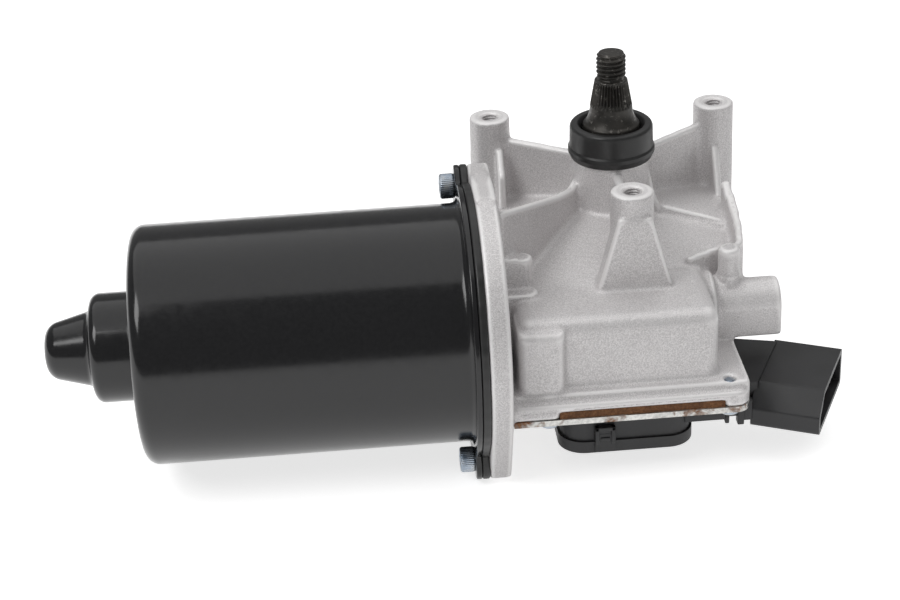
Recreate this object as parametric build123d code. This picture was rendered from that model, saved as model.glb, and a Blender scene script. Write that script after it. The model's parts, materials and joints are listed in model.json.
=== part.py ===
from build123d import *
import os
from math import atan2, cos, degrees, pi, radians, sin, tan

# Wiper gear motor. Millimetres.
# The output shaft stands on Z and the tops of the three mounting bosses lie in Z = 0.
# The motor axis runs along X, in front of the output shaft and below the bosses.

# ---- worm drive ----
MODULE = 1.5
WHEEL_TEETH = 46
WORM_PITCH_R = 5.5
WORM_LENGTH = 42.0
WHEEL_WIDTH = 10.0
ADDENDUM = 1.0 * MODULE
DEDENDUM = 1.25 * MODULE
PRESSURE_ANGLE = 20.0
TOOTH_THINNING = 0.22
WHEEL_PITCH_R = MODULE * WHEEL_TEETH / 2
CENTRE_DISTANCE = WORM_PITCH_R + WHEEL_PITCH_R
WORM_LEAD = pi * MODULE
LEAD_ANGLE = atan2(WORM_LEAD, 2 * pi * WORM_PITCH_R)

# ---- motor axis ----
BOSS_HEIGHT = 47.0
MOTOR_Y = -CENTRE_DISTANCE
MOTOR_Z = -BOSS_HEIGHT

# ---- clearances ----
RUNNING = 0.03
LOOSE = 0.15
END_PLAY = 0.1

# ---- stations along the motor axis ----
SHAFT_TO_FLANGE = 44.0
FLANGE_T = 7.1
GASKET_T = 2.6
RIM_T = 2.0
CAN_LENGTH = 110.3
STEP_LENGTH = 15.3
NOSE_LENGTH = 15.6
FLANGE_X = -SHAFT_TO_FLANGE
CAST_FACE_X = FLANGE_X - FLANGE_T
CAN_RIM_X = CAST_FACE_X - GASKET_T
CAN_END_X = CAN_RIM_X - CAN_LENGTH
STEP_X = CAN_END_X - STEP_LENGTH
NOSE_X = STEP_X - NOSE_LENGTH

# ---- motor can ----
CAN_R = 40.0
CAN_WALL = 2.3
CAN_BORE_R = CAN_R - CAN_WALL
STEP_R = 18.3
NOSE_BASE_R = 12.8
NOSE_TIP_R = 8.6
NOSE_ROUND = 5.5
FLANGE_RING_R = CAN_R + 6.6
LUG_R = 7.0
BOLT_CIRCLE_R = CAN_R + 6.0
BOLT_ANGLE = 57.7
BOLT_R = 2.5
BOLT_HEAD_R = 4.25
BOLT_HEAD_H = 5.0
BOLT_KEY = 4.0
BOLT_LENGTH = 11.6
CAN_CORNERS = (2.2, 3.0, 2.2, 4.5)
CAN_INNER_CORNERS = (1.0, 1.0, 1.0, 2.2)

# ---- ball bearings ----
BEARING_R = STEP_R - CAN_WALL
BEARING_BORE_R = 6.0
BEARING_W = 10.0
BALL_R = 3.0
BALL_COUNT = 7
BALL_CLEARANCE = 0.04
RACE_GAP = 3.2
CAGE_T = 0.8
BEARING_PITCH_R = (BEARING_R + BEARING_BORE_R) / 2
PRELOAD_T = 1.2
REAR_BEARING_X = STEP_X + CAN_WALL + PRELOAD_T
SEAT_WALL = 3.5
SHOULDER_R = BEARING_R + 1.0

# ---- armature ----
SHAFT_R = BEARING_BORE_R
SHAFT_TAIL = 8.0
STACK_R = CAN_R - 13.0
STACK_LENGTH = 52.0
SLOTS = 12
SLOT_MOUTH = 2.0
SLOT_DEPTH_R = (14.0, 24.6)
SLOT_HALF_ANGLE = 9.5
HEAD_LENGTH = 8.0
COMMUTATOR_R = 13.0
COMMUTATOR_LENGTH = 16.0
COMMUTATOR_BARS = 24
RISER_R = 15.0
RISER_T = 3.0
MAGNET_T = 9.8
MAGNET_ARC = 74.0
MAGNET_COUNT = 4
MAGNET_OVERHANG = 2.0
END_JOURNAL_R = 3.5

# ---- brush gear ----
PLATE_T = 2.5
PLATE_HOLE_R = 15.5
PILOT_WALL = 4.5
PILOT_LENGTH = 10.9
BRUSH_ANGLES = (90.0, 210.0, 270.0)
BRUSH_W = 8.0
BRUSH_T = 6.0
BRUSH_LENGTH = 12.0
BOX_WALL = 0.8
BOX_LENGTH = 21.0
BOX_LIFT = 1.0
CHOKE_ANGLES = (30.0, 150.0)
CHOKE_R = 3.2
CHOKE_LENGTH = 9.0
SPRING_WIRE_R = 0.35

# ---- gear housing ----
CHAMBER_R = 42.0
CHAMBER_WALL = 3.5
HUB_R = 12.8
SPIGOT_R = 11.5
DOME_HUB_Z = MOTOR_Z + 22.0
DOME_SLOPE = 0.19
DOME_STEP = 3.0
ROOF_T = 3.5
SPIGOT_Z = MOTOR_Z + 47.0
HUB_Z = MOTOR_Z + 40.0
INNER_HUB_Z = MOTOR_Z + 8.0
BUSH_R = 8.0
BUSH_LENGTH = 14.0
BASE_TOP_Z = MOTOR_Z - 9.7
BASE_T = 7.9
BASE_Z = BASE_TOP_Z - BASE_T
SEAL_R = 40.0
SEAL_W = 2.5
SEAL_RIM = 2.5
SCREW_R = 2.0
BASE_R = SEAL_R + SEAL_W + SEAL_RIM
BASE_FRONT = MOTOR_Y - 39.0
BASE_RIGHT = 34.2
BASE_CORNER_R = 5.0
LEDGE = 2.6
EAR_R = 5.5
EAR_CIRCLE_R = SEAL_R + SEAL_W + SEAL_RIM + SCREW_R
EAR_ANGLES = (60.0, 120.0)
BOX_X = (-40.5, 24.5)
BOX_FRONT = MOTOR_Y - 32.5
BOX_TOP_Z = MOTOR_Z + 14.3
BOX_ROUND = 4.5
BOX_WALL_T = 3.5
COLUMN_X = (-41.0, -25.9)
COLUMN_TOP_Z = BOX_TOP_Z - 2.5
COLUMN_STEP = 3.0
COLUMN_DEPTH = 14.0
TUNNEL_R = 8.0
TUNNEL_OUTER_R = 11.5
TUBE_R = 8.0
TUBE_END_X = 50.5
TUNNEL_END_X = 25.0
PLUG_RECESS = 0.6
END_BORE_R = 5.8
END_BORE_X = 28.0
END_BUSH_X = (30.0, 44.0)
END_BUSH_CHAMFER = 0.4
THRUST_PAD_X = (46.0, 47.5)
POST_R = 3.6
POST_X = 33.7
POST_Y = MOTOR_Y + 1.0
POST_FOOT_Z = MOTOR_Z + 5.0
POST_TOP_Z = MOTOR_Z + 20.3

# ---- mounting bosses and ribs ----
BOSS_CIRCLE_R = 46.0
BOSS_ANGLES = (30.0, 150.0, 270.0)
BOSS_R = 7.0
BOSS_DRAFT = 0.5
BOSS_HOLE_R = 2.5
BOSS_HOLE_DEPTHS = (18.0, 17.0, 16.0)
RIB_T = 3.0
THIN_RIB_T = 2.6
RIB_FLOOR_Z = DOME_HUB_Z - 14.0
FLANGE_RIB_START = (FLANGE_X, MOTOR_Y - 7.0)
FLANGE_RIB_END = (-9.0, 2.0)
FLANGE_RIB_CREST = ((0, 42.5), (0.66, 32.0), (0.82, 30.6), (0.90, 32.5), (0.97, 37.5), (1, 38.5))
LEFT_RIB_CREST = ((0, 40.0), (0.85, 38.5), (1, 38.5))
RIGHT_RIB_CREST = ((0, 41.0), (0.85, 38.0), (1, 38.0))
NEAR_RIB_CREST = ((0, 38.0), (1, 38.0))
SIDE_RIB_START = (39.6, -12.6)
SIDE_RIB_END = (4.0, -1.3)
SIDE_RIB_CREST = ((0, 16.2), (0.56, 17.0), (0.64, 20.0), (0.71, 26.0), (0.77, 36.0), (1, 38.0))
FIN_T = 2.4
LEFT_FIN_SHIFT = 2.5
LEFT_FIN_REACH = 16.0
LEFT_FIN_CREST = ((0, 30.0), (0.5, 37.0), (1, 39.0))
RIGHT_FIN_SHIFT = 0.5
RIGHT_FIN_REACH = 17.0
RIGHT_FIN_CREST = ((0, 18.0), (0.55, 33.0), (1, 41.0))
NEAR_GUSSET_TOP = 10.8
NEAR_GUSSET_BASE = 25.6
NEAR_GUSSET_TOP_Z = MOTOR_Z + 40.0

# ---- output shaft ----
OUTPUT_R = 6.0
THREAD_R = 5.0
THREAD_TOP_Z = 30.0
THREAD_Z = 21.2
KNURL_Z = 11.2
KNURL_TOP_R = 5.6
KNURL_R = 7.2
KNURL_TEETH = 36
KNURL_DEPTH = 0.7
COLLAR_R = 9.7
COLLAR_Z = 1.0
COLLAR_TOP_Z = 4.6
SHAFT_BOTTOM_Z = MOTOR_Z - 13.0
WHEEL_HUB_R = 13.0
WHEEL_HUB_Z = (MOTOR_Z - 8.0, MOTOR_Z + 7.0)
WHEEL_WEB_T = 6.0
WHEEL_RIM_R = 29.0
WHEEL_BOSS_T = 3.0
CLIP_T = 1.2
CLIP_R = 9.0
CLIP_GROOVE_R = 5.0

# ---- rubber cap ----
CAP_R = 14.25
CAP_LIP_R = 14.9
CAP_BOTTOM_Z = MOTOR_Z + 39.5
CAP_LIP_Z = MOTOR_Z + 42.5
CAP_TOP_Z = MOTOR_Z + 51.7
CAP_MOUTH_R = 10.5

# ---- cover and gasket ----
COVER_T = 2.0
COVER_GAP = 0.5
SEAL_T = 2.5
SEAL_FRONT = BASE_FRONT + 0.7
SEAL_LAND = 1.5
SEAL_GAP = 0.5
SLOT_X = (-29.0, 26.0)
SEAL_RAIL_Y = MOTOR_Y + 10.0
SCREW_HEAD_R = 4.0
SCREW_HEAD_H = 2.9
CROSS_L = 4.2
CROSS_W = 0.9
SCREW_Y = MOTOR_Y - 33.3
SCREW_X = (-31.5, 27.8)
COVER_Z = BASE_Z - COVER_T

# ---- park contacts and connector ----
DISC_T = 0.6
DISC_R = (15.0, 28.0)
PARK_GAP = (60.0, 95.0)
PARK_GAP_R = 22.0
CONTACT_X = (-26.5, 17.1)
CONTACT_Y = (-68.0, -16.0)
CONTACT_CORNER_R = 8.0
CONTACT_DEPTH = 13.6
CONTACT_WALL = 2.0
LID_T = 4.2
LID_RIM = 0.8
LATCH_X = (-15.9, -9.1)
LATCH_T = 1.6
LATCH_GAP = 0.6
LATCH_REACH = 3.2
WINDOW_X = (-14.0, 8.0)
WINDOW_Y = (-30.0, -19.0)
TOWER_TOP_Z = MOTOR_Z - 12.5
FINGER_X = (-9.0, -3.0, 3.0)
FINGER_W = 3.0
FINGER_T = 0.4
FINGER_GAP = 0.15
SHROUD_YAW = -25.0
SHROUD_CORNER = (57.8, -74.8)
SHROUD_LENGTH = 23.1
SHROUD_WIDTH = 37.1
SHROUD_Z = (MOTOR_Z - 34.0, MOTOR_Z - 20.2)
SHROUD_WALL = 1.8
SHROUD_DEPTH = 19.0
SHROUD_BEVEL = 7.0
ARM_Y = (5.0, SHROUD_WIDTH - 3.0)
PIN_COUNT = 5
PIN_SIZE = (2.8, 0.8)
PIN_REACH = 12.0
PIN_START = 6.0
PIN_LIFT = 4.0


def save(node, shape):
    """Write one sub-part to its own file"""
    export_step(shape, f"parts/{node}.step")


def at_motor(shape):
    """Move a shape built about the X axis onto the motor axis"""
    return Pos(0, MOTOR_Y, MOTOR_Z) * shape


def plane_x(x):
    """Section plane across the motor axis, local axes along Y and Z"""
    return Plane(origin=(x, 0, 0), x_dir=(0, 1, 0), z_dir=(1, 0, 0))


def ring_x(x0, x1, outer, inner=0.0):
    """Round bar or ring about the X axis"""
    section = Circle(outer) - Circle(inner) if inner else Circle(outer)
    return extrude(plane_x(x0) * section, x1 - x0)


def ring_z(z0, z1, outer, inner=0.0):
    """Round bar or ring about the Z axis"""
    section = Circle(outer) - Circle(inner) if inner else Circle(outer)
    return extrude(Pos(0, 0, z0) * section, z1 - z0)


def turned_x(points):
    """Solid of revolution about X, from (x, radius) points"""
    outline = Polyline(*points, close=True)
    return revolve(make_face(outline), Axis.X)


def turned_z(points):
    """Solid of revolution about Z, from (radius, z) points"""
    outline = Polyline(*[(r, 0, z) for r, z in points], close=True)
    return revolve(make_face(outline), Axis.Z)


def block(x, y, z):
    """Box from three (low, high) pairs"""
    size = [high - low for low, high in (x, y, z)]
    middle = [(high + low) / 2 for low, high in (x, y, z)]
    return Pos(*middle) * Box(*size)


def plate(sketch, z0, z1):
    """Sketch in plan, extruded from z0 to z1"""
    return extrude(Pos(0, 0, z0) * sketch, z1 - z0)


def polar(radius, angle):
    """Plan point at a radius and an angle in degrees"""
    return radius * cos(radians(angle)), radius * sin(radians(angle))


# ---- motor can and its flange joint ----

def lug_points():
    """Bolt centres across the motor axis, in local Y and Z"""
    y, z = polar(BOLT_CIRCLE_R, BOLT_ANGLE)
    return [(y, z), (-y, -z)]


def flange_outline(hole_r, bore_r):
    """Round flange drawn out to two bolt lugs, with its holes"""
    circles = Circle(FLANGE_RING_R).edges()
    for centre in lug_points():
        circles += (Pos(*centre) * Circle(LUG_R)).edges()
    outline = make_hull(circles)
    if bore_r:
        outline -= Circle(bore_r)
    for centre in lug_points():
        outline -= Pos(*centre) * Circle(hole_r)
    return outline


def can_shape(inset, tip_round, corners):
    """Outside of the drawn can, or its inside when inset by the wall"""
    points = [
        (NOSE_X + inset, 0),
        (NOSE_X + inset, NOSE_TIP_R - inset),
        (STEP_X + inset, NOSE_BASE_R - inset),
        (STEP_X + inset, STEP_R - inset),
        (CAN_END_X + inset, STEP_R - inset),
        (CAN_END_X + inset, CAN_R - inset),
        (CAN_RIM_X, CAN_R - inset),
        (CAN_RIM_X, 0),
    ]
    face = make_face(Polyline(*points, close=True))
    tip = face.vertices().sort_by_distance(points[1])[0]
    face = fillet(tip, tip_round)
    for point, radius in zip(points[2:6], corners):
        vertex = face.vertices().sort_by_distance(point)[0]
        face = fillet(vertex, radius)
    return revolve(face, Axis.X)


def motor_can():
    rim = extrude(plane_x(CAN_RIM_X - RIM_T) * flange_outline(BOLT_R + LOOSE, 0), RIM_T)
    outside = can_shape(0, NOSE_ROUND, CAN_CORNERS)
    inside = can_shape(CAN_WALL, NOSE_ROUND - CAN_WALL, CAN_INNER_CORNERS)
    return at_motor(outside + rim - inside)


def flange_gasket():
    outline = flange_outline(BOLT_R + LOOSE, CAN_BORE_R)
    return at_motor(extrude(plane_x(CAN_RIM_X) * outline, GASKET_T))


def can_bolts():
    head_x = CAN_RIM_X - RIM_T
    bolts = []
    for y, z in lug_points():
        head = ring_x(head_x - BOLT_HEAD_H, head_x, BOLT_HEAD_R)
        head = chamfer(head.edges().sort_by(Axis.X)[0], 0.5)
        key = RegularPolygon(BOLT_KEY / 2, 6, major_radius=False)
        head -= extrude(plane_x(head_x - BOLT_HEAD_H) * key, BOLT_HEAD_H / 2)
        shank = ring_x(head_x, head_x + BOLT_LENGTH, BOLT_R)
        bolts.append(at_motor(Pos(0, y, z) * (head + shank)))
    return Compound(children=bolts)


def field_magnets():
    low = stack_x()[0] - MAGNET_OVERHANG
    high = stack_x()[1] + MAGNET_OVERHANG
    shell = ring_x(low, high, CAN_BORE_R, CAN_BORE_R - MAGNET_T)
    reach = 2 * CAN_R
    half = radians(MAGNET_ARC / 2)
    wedge = Polyline((0, 0), (reach, reach * tan(half)), (reach, -reach * tan(half)), close=True)
    sector = extrude(plane_x(low) * make_face(wedge), high - low)
    magnets = []
    for index in range(MAGNET_COUNT):
        turn = Rot(X=360 * (index + 0.5) / MAGNET_COUNT)
        magnets.append(at_motor(shell & (turn * sector)))
    return Compound(children=magnets)


# ---- ball bearings ----

def race_groove(x):
    """Torus that the balls run in"""
    return Pos(x, 0, 0) * Rot(Y=90) * Torus(BEARING_PITCH_R, BALL_R + BALL_CLEARANCE)


def outer_race(x):
    ring = ring_x(x, x + BEARING_W, BEARING_R, BEARING_PITCH_R + RACE_GAP / 2)
    return at_motor(ring - race_groove(x + BEARING_W / 2))


def inner_race(x):
    ring = ring_x(x, x + BEARING_W, BEARING_PITCH_R - RACE_GAP / 2, BEARING_BORE_R)
    return at_motor(ring - race_groove(x + BEARING_W / 2))


def ball_places(x):
    """Ball centres round the bearing"""
    places = []
    for index in range(BALL_COUNT):
        y, z = polar(BEARING_PITCH_R, 360 * index / BALL_COUNT)
        places.append(Pos(x + BEARING_W / 2, y, z))
    return places


def bearing_balls(x):
    balls = [at_motor(place * Sphere(BALL_R)) for place in ball_places(x)]
    return Compound(children=balls)


def bearing_cage(x):
    """Pressed ring with a pocket for each ball"""
    middle = x + BEARING_W / 2
    half = BALL_R + CAGE_T
    radius = BEARING_PITCH_R
    band = ring_x(middle - half, middle + half, radius + CAGE_T, radius - CAGE_T)
    for place in ball_places(x):
        band -= place * Sphere(BALL_R + RUNNING)
    return at_motor(band)


def preload_washer():
    wall_x = STEP_X + CAN_WALL
    return at_motor(ring_x(wall_x, wall_x + PRELOAD_T, BEARING_R - 1.5, NOSE_BASE_R - CAN_WALL + 0.5))


def front_bearing_x():
    return FLANGE_X - BEARING_W


# ---- armature ----

def brush_plate_x():
    """Rear face of the brush plate, which sits on the end of the pilot ring"""
    return CAST_FACE_X - PILOT_LENGTH - PLATE_T


def commutator_x():
    high = brush_plate_x() - 1.5
    return high - COMMUTATOR_LENGTH, high


def stack_x():
    high = commutator_x()[0] - 3.5 - HEAD_LENGTH
    return high - STACK_LENGTH, high


def worm_section():
    """Section across a one-start worm: root arc, rising flank, crest arc, falling flank"""
    root_r = WORM_PITCH_R - DEDENDUM
    crest_r = WORM_PITCH_R + ADDENDUM
    slope = tan(radians(PRESSURE_ANGLE))
    half_pitch_tooth = WORM_LEAD / 4 - TOOTH_THINNING / 2
    turn_per_mm = 2 * pi / WORM_LEAD
    half_crest = (half_pitch_tooth - ADDENDUM * slope) * turn_per_mm
    half_root = (half_pitch_tooth + DEDENDUM * slope) * turn_per_mm

    def point(radius, angle):
        return radius * cos(angle), radius * sin(angle)

    def flank(side):
        steps = [(i / 4) for i in range(5)]
        return [
            point(root_r + t * (crest_r - root_r), side * (half_root + t * (half_crest - half_root)))
            for t in steps
        ]

    rising = flank(-1)
    falling = flank(1)
    edges = [
        Spline(*rising),
        ThreePointArc(rising[-1], (crest_r, 0), falling[-1]),
        Spline(*falling),
        ThreePointArc(falling[0], (-root_r, 0), rising[0]),
    ]
    return make_face(edges)


def worm():
    """Right-handed worm with the middle of a crest facing the wheel at X = 0"""
    turns = WORM_LENGTH / WORM_LEAD
    section = worm_section()
    twisted = Solid.extrude_linear_with_rotation(
        section.face(), (0, 0, 0), (0, 0, WORM_LENGTH), 360 * turns
    )
    # local X of the section turns onto +Y, then back by half the worm's twist
    laid = Rot(X=-180 * turns) * (Plane(origin=(0, 0, 0), x_dir=(0, 1, 0), z_dir=(1, 0, 0)) * twisted)
    return Pos(-WORM_LENGTH / 2, 0, 0) * laid


def armature_shaft():
    worm_end = WORM_LENGTH / 2
    root_r = WORM_PITCH_R - DEDENDUM
    end_x = THRUST_PAD_X[0] - END_PLAY
    rear = turned_x([
        (NOSE_X + SHAFT_TAIL, 0), (NOSE_X + SHAFT_TAIL, SHAFT_R - 1), (NOSE_X + SHAFT_TAIL + 1, SHAFT_R),
        (-worm_end - 5, SHAFT_R), (-worm_end, root_r), (-worm_end, 0),
    ])
    core = ring_x(-worm_end, worm_end, root_r)
    journal = turned_x([
        (worm_end, 0), (worm_end, END_JOURNAL_R), (end_x - 0.5, END_JOURNAL_R),
        (end_x, END_JOURNAL_R - 0.5), (end_x, 0),
    ])
    return at_motor(rear + core + worm() + journal)


def lamination_stack():
    low, high = stack_x()
    sheet = Circle(STACK_R) - Circle(SHAFT_R)
    for index in range(SLOTS):
        sheet -= Rot(Z=360 * index / SLOTS) * slot_sketch(0)
        mouth = Pos((SLOT_DEPTH_R[1] + STACK_R) / 2, 0) * Rectangle(STACK_R - SLOT_DEPTH_R[1] + 2, SLOT_MOUTH)
        sheet -= Rot(Z=360 * index / SLOTS) * mouth
    return at_motor(extrude(plane_x(low) * sheet, high - low))


def slot_sketch(inset):
    """Slot between two teeth, wider towards the outside"""
    inner, outer = SLOT_DEPTH_R
    half = tan(radians(SLOT_HALF_ANGLE))
    inner += inset
    outer -= inset
    corners = [
        (inner, -inner * half + inset), (outer, -outer * half + inset),
        (outer, outer * half - inset), (inner, inner * half - inset),
    ]
    return make_face(Polyline(*corners, close=True))


def armature_windings():
    """Coil sides in the slots, joined by the two winding heads"""
    low, high = stack_x()
    inner, outer = SLOT_DEPTH_R
    half = HEAD_LENGTH / 2
    head_profile = [
        (inner - 3, 0), (inner - 3, half), (inner + 1, HEAD_LENGTH),
        (outer - 4, HEAD_LENGTH), (outer, half), (outer, 0),
    ]
    front = turned_x([(high + along, radius) for radius, along in head_profile])
    rear = turned_x([(low - along, radius) for radius, along in head_profile])
    coils = front + rear
    for index in range(SLOTS):
        side = Rot(Z=360 * index / SLOTS) * slot_sketch(LOOSE)
        coils += extrude(plane_x(low) * side, high - low)
    return at_motor(coils)


def commutator():
    low, high = commutator_x()
    body = ring_x(low + RISER_T, high, COMMUTATOR_R, SHAFT_R) + ring_x(low, low + RISER_T, RISER_R, SHAFT_R)
    cut = extrude(plane_x(low) * (Pos(COMMUTATOR_R + 1, 0) * Rectangle(5.0, 0.5)), high - low)
    for index in range(COMMUTATOR_BARS):
        body -= Rot(X=360 * index / COMMUTATOR_BARS) * cut
    return at_motor(body)


# ---- brush gear ----

def brush_middle_x():
    low, high = commutator_x()
    return (low + RISER_T + high) / 2


def brush_box_frame(angle):
    """Radial frame of one brush: local Z runs outwards from the commutator"""
    y, z = polar(1, angle)
    return Plane(origin=(brush_middle_x(), 0, 0), x_dir=(1, 0, 0), z_dir=(0, y, z))


def brush_plate():
    x = brush_plate_x()
    plate_outline = Circle(CAN_BORE_R - 0.2) - Circle(PLATE_HOLE_R)
    return at_motor(extrude(plane_x(x) * plate_outline, PLATE_T))


def brush_boxes():
    """Sheet-brass guides that hold the brushes, seated on the plate"""
    boxes = []
    bore_x = BRUSH_W / 2 + LOOSE
    bore_y = BRUSH_T / 2 + LOOSE
    outer_y = bore_y + BOX_WALL
    foot_z = COMMUTATOR_R + BOX_LIFT
    end_z = foot_z + BOX_LENGTH
    seat = brush_plate_x() - brush_middle_x()
    for angle in BRUSH_ANGLES:
        outer = block((-bore_x - BOX_WALL, seat), (-outer_y, outer_y), (foot_z, end_z))
        bore = block((-bore_x, bore_x), (-bore_y, bore_y), (0, end_z - BOX_WALL))
        boxes.append(at_motor(brush_box_frame(angle) * (outer - bore)))
    return Compound(children=boxes)


def carbon_brushes():
    brushes = []
    for angle in BRUSH_ANGLES:
        reach = (COMMUTATOR_R - 2, COMMUTATOR_R + BRUSH_LENGTH)
        bar = block((-BRUSH_W / 2, BRUSH_W / 2), (-BRUSH_T / 2, BRUSH_T / 2), reach)
        bar = brush_box_frame(angle) * bar
        bar -= ring_x(brush_middle_x() - BRUSH_W, brush_middle_x() + BRUSH_W, COMMUTATOR_R + RUNNING)
        brushes.append(at_motor(bar))
    return Compound(children=brushes)


def brush_springs():
    """Coil springs between each brush and the closed end of its box"""
    start = COMMUTATOR_R + BRUSH_LENGTH
    length = BOX_LIFT + BOX_LENGTH - BOX_WALL - BRUSH_LENGTH
    coil_r = BRUSH_T / 2 - 2 * SPRING_WIRE_R
    springs = []
    for angle in BRUSH_ANGLES:
        pitch = (length - 2 * SPRING_WIRE_R) / 5
        path = Helix(pitch, length - 2 * SPRING_WIRE_R, coil_r)
        wire = Plane(origin=path @ 0, z_dir=path % 0) * Circle(SPRING_WIRE_R)
        coil = Pos(0, 0, start + SPRING_WIRE_R) * sweep(wire, path=path)
        springs.append(at_motor(brush_box_frame(angle) * coil))
    return Compound(children=springs)


def suppression_chokes():
    """Two choke coils that stand on the gear side of the brush plate"""
    x = brush_plate_x() + PLATE_T
    middle_r = (PLATE_HOLE_R + CAN_BORE_R - PILOT_WALL) / 2
    chokes = []
    for angle in CHOKE_ANGLES:
        y, z = polar(middle_r, angle)
        chokes.append(at_motor(Pos(0, y, z) * ring_x(x, x + CHOKE_LENGTH, CHOKE_R)))
    return Compound(children=chokes)


# ---- worm end ----

def worm_end_bush():
    """Sintered bush with chamfers at the bore and the rim"""
    low, high = END_BUSH_X
    bore_r = END_JOURNAL_R + RUNNING
    edge = END_BUSH_CHAMFER
    return at_motor(turned_x([
        (low, bore_r + edge), (low, END_BORE_R - edge), (low + edge, END_BORE_R),
        (high - edge, END_BORE_R), (high, END_BORE_R - edge), (high, bore_r + edge),
        (high - edge, bore_r), (low + edge, bore_r),
    ]))


def thrust_pad():
    return at_motor(ring_x(*THRUST_PAD_X, END_BORE_R))


def tube_end_plug():
    plug = ring_x(THRUST_PAD_X[1], TUBE_END_X - PLUG_RECESS, END_BORE_R)
    dish = ring_x(TUBE_END_X - PLUG_RECESS - 1, TUBE_END_X, END_BORE_R - 2)
    return at_motor(plug - dish)


# ---- gear housing ----

def dome_z(radius, drop=0.0):
    """Height of the sloping roof at a radius from the output shaft"""
    return DOME_HUB_Z - drop - DOME_SLOPE * (radius - HUB_R)


def under_dome(reach, floor_z, drop=0.0):
    """Everything below the sloping roof, out to a radius"""
    return turned_z([(0, floor_z), (reach, floor_z), (reach, dome_z(reach, drop)), (0, dome_z(0, drop))])


def base_outline():
    """Plan of the base flange: round behind, square in front, with screw ears"""
    square = Pos((BASE_RIGHT + FLANGE_X) / 2, BASE_FRONT / 2) * Rectangle(BASE_RIGHT - FLANGE_X, -BASE_FRONT)
    corner = square.vertices().group_by(Axis.Y)[0].sort_by(Axis.X)[-1]
    outline = fillet(corner, BASE_CORNER_R) + Circle(BASE_R)
    for angle in EAR_ANGLES:
        tip = Pos(*polar(EAR_CIRCLE_R, angle)) * Circle(EAR_R)
        outline += make_hull(Circle(EAR_R + 2).edges() + tip.edges())
    return outline


def seal_outline():
    """Plan of the gasket bead, which shows in a slot in the front edge"""
    band = Circle(SEAL_R + SEAL_W) - Circle(SEAL_R)
    inner_edge = BOX_FRONT + BOX_WALL_T - SEAL_LAND
    left, right = SLOT_X[0] + SEAL_GAP, SLOT_X[1] - SEAL_GAP
    front_band = Pos((left + right) / 2, (SEAL_FRONT + inner_edge) / 2)
    front_band *= Rectangle(right - left, inner_edge - SEAL_FRONT)
    rails = Sketch()
    for x in (left + SEAL_W / 2, right - SEAL_W / 2):
        rails += Pos(x, (SEAL_FRONT + SEAL_RAIL_Y) / 2) * Rectangle(SEAL_W, SEAL_RAIL_Y - SEAL_FRONT)
    return band + front_band + (rails - Circle(SEAL_R))


def boss_points():
    return [polar(BOSS_CIRCLE_R, angle) for angle in BOSS_ANGLES]


def boss(x, y, floor_z):
    """Tapped mounting post with moulding draft"""
    return Pos(x, y, 0) * turned_z([(0, floor_z), (BOSS_R + BOSS_DRAFT, floor_z), (BOSS_R, 0), (0, 0)])


def rib(start, end, crest, thickness=RIB_T):
    """Upright web from start to end in plan; crest lists (share of the way, height over the motor axis)"""
    run = Vector(end[0] - start[0], end[1] - start[1], 0)
    length = run.length
    along = run.normalized()
    face_plane = Plane(origin=(start[0], start[1], 0), x_dir=along, z_dir=(along.Y, -along.X, 0))
    top = [(share * length, MOTOR_Z + height) for share, height in crest]
    points = [(0, RIB_FLOOR_Z)] + top + [(length, RIB_FLOOR_Z)]
    return extrude(face_plane * make_face(Polyline(*points, close=True)), thickness / 2, both=True)


def roof_ribs():
    """Webs that tie the hub to the bosses and to the motor flange"""
    right, left, near = boss_points()
    return [
        rib(FLANGE_RIB_START, FLANGE_RIB_END, FLANGE_RIB_CREST),
        rib(left, (0, 0), LEFT_RIB_CREST),
        rib(right, (0, 0), RIGHT_RIB_CREST),
        rib(near, (0, 0), NEAR_RIB_CREST, THIN_RIB_T),
        rib(SIDE_RIB_START, SIDE_RIB_END, SIDE_RIB_CREST, THIN_RIB_T),
    ]


def boss_fins():
    """Small buttresses in front of the two rear bosses"""
    right, left, _ = boss_points()
    left_x = left[0] + LEFT_FIN_SHIFT
    right_x = right[0] - RIGHT_FIN_SHIFT
    return [
        rib((left_x, left[1] - LEFT_FIN_REACH), (left_x, left[1]), LEFT_FIN_CREST, FIN_T),
        rib((right_x, right[1] - RIGHT_FIN_REACH), (right_x, right[1]), RIGHT_FIN_CREST, FIN_T),
    ]


def near_gusset():
    """Trapezoid buttress that carries the near boss on the front box"""
    x, y = boss_points()[2]
    foot_z = BOX_TOP_Z - 1
    half_top = NEAR_GUSSET_TOP / 2
    half_base = NEAR_GUSSET_BASE / 2
    outline = Polyline((-half_base, foot_z), (half_base, foot_z), (half_top, NEAR_GUSSET_TOP_Z),
                       (-half_top, NEAR_GUSSET_TOP_Z), close=True)
    face_plane = Plane(origin=(x, y - BOSS_R - 0.6, 0), x_dir=(1, 0, 0), z_dir=(0, -1, 0))
    return extrude(face_plane * make_face(outline), -8.0)


def front_box():
    """Raised box over the worm, with a screw column at its left end"""
    box = block(BOX_X, (BOX_FRONT, MOTOR_Y), (BASE_TOP_Z, BOX_TOP_Z))
    box = fillet(box.edges().filter_by(Axis.X).group_by(Axis.Z)[-1].sort_by(Axis.Y)[0], BOX_ROUND)
    front_uprights = box.edges().filter_by(Axis.Z).group_by(Axis.Y)[0]
    box = fillet(front_uprights, BOX_ROUND * 0.9)
    column = block(COLUMN_X, (BOX_FRONT - COLUMN_STEP, BOX_FRONT + COLUMN_DEPTH), (BASE_TOP_Z, COLUMN_TOP_Z))
    rounded = column.edges().filter_by(Axis.Z).group_by(Axis.Y)[0]
    rounded += column.edges().filter_by(Axis.X).group_by(Axis.Z)[-1].sort_by(Axis.Y)[:1]
    return box + fillet(rounded, COLUMN_STEP * 0.9)


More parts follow.
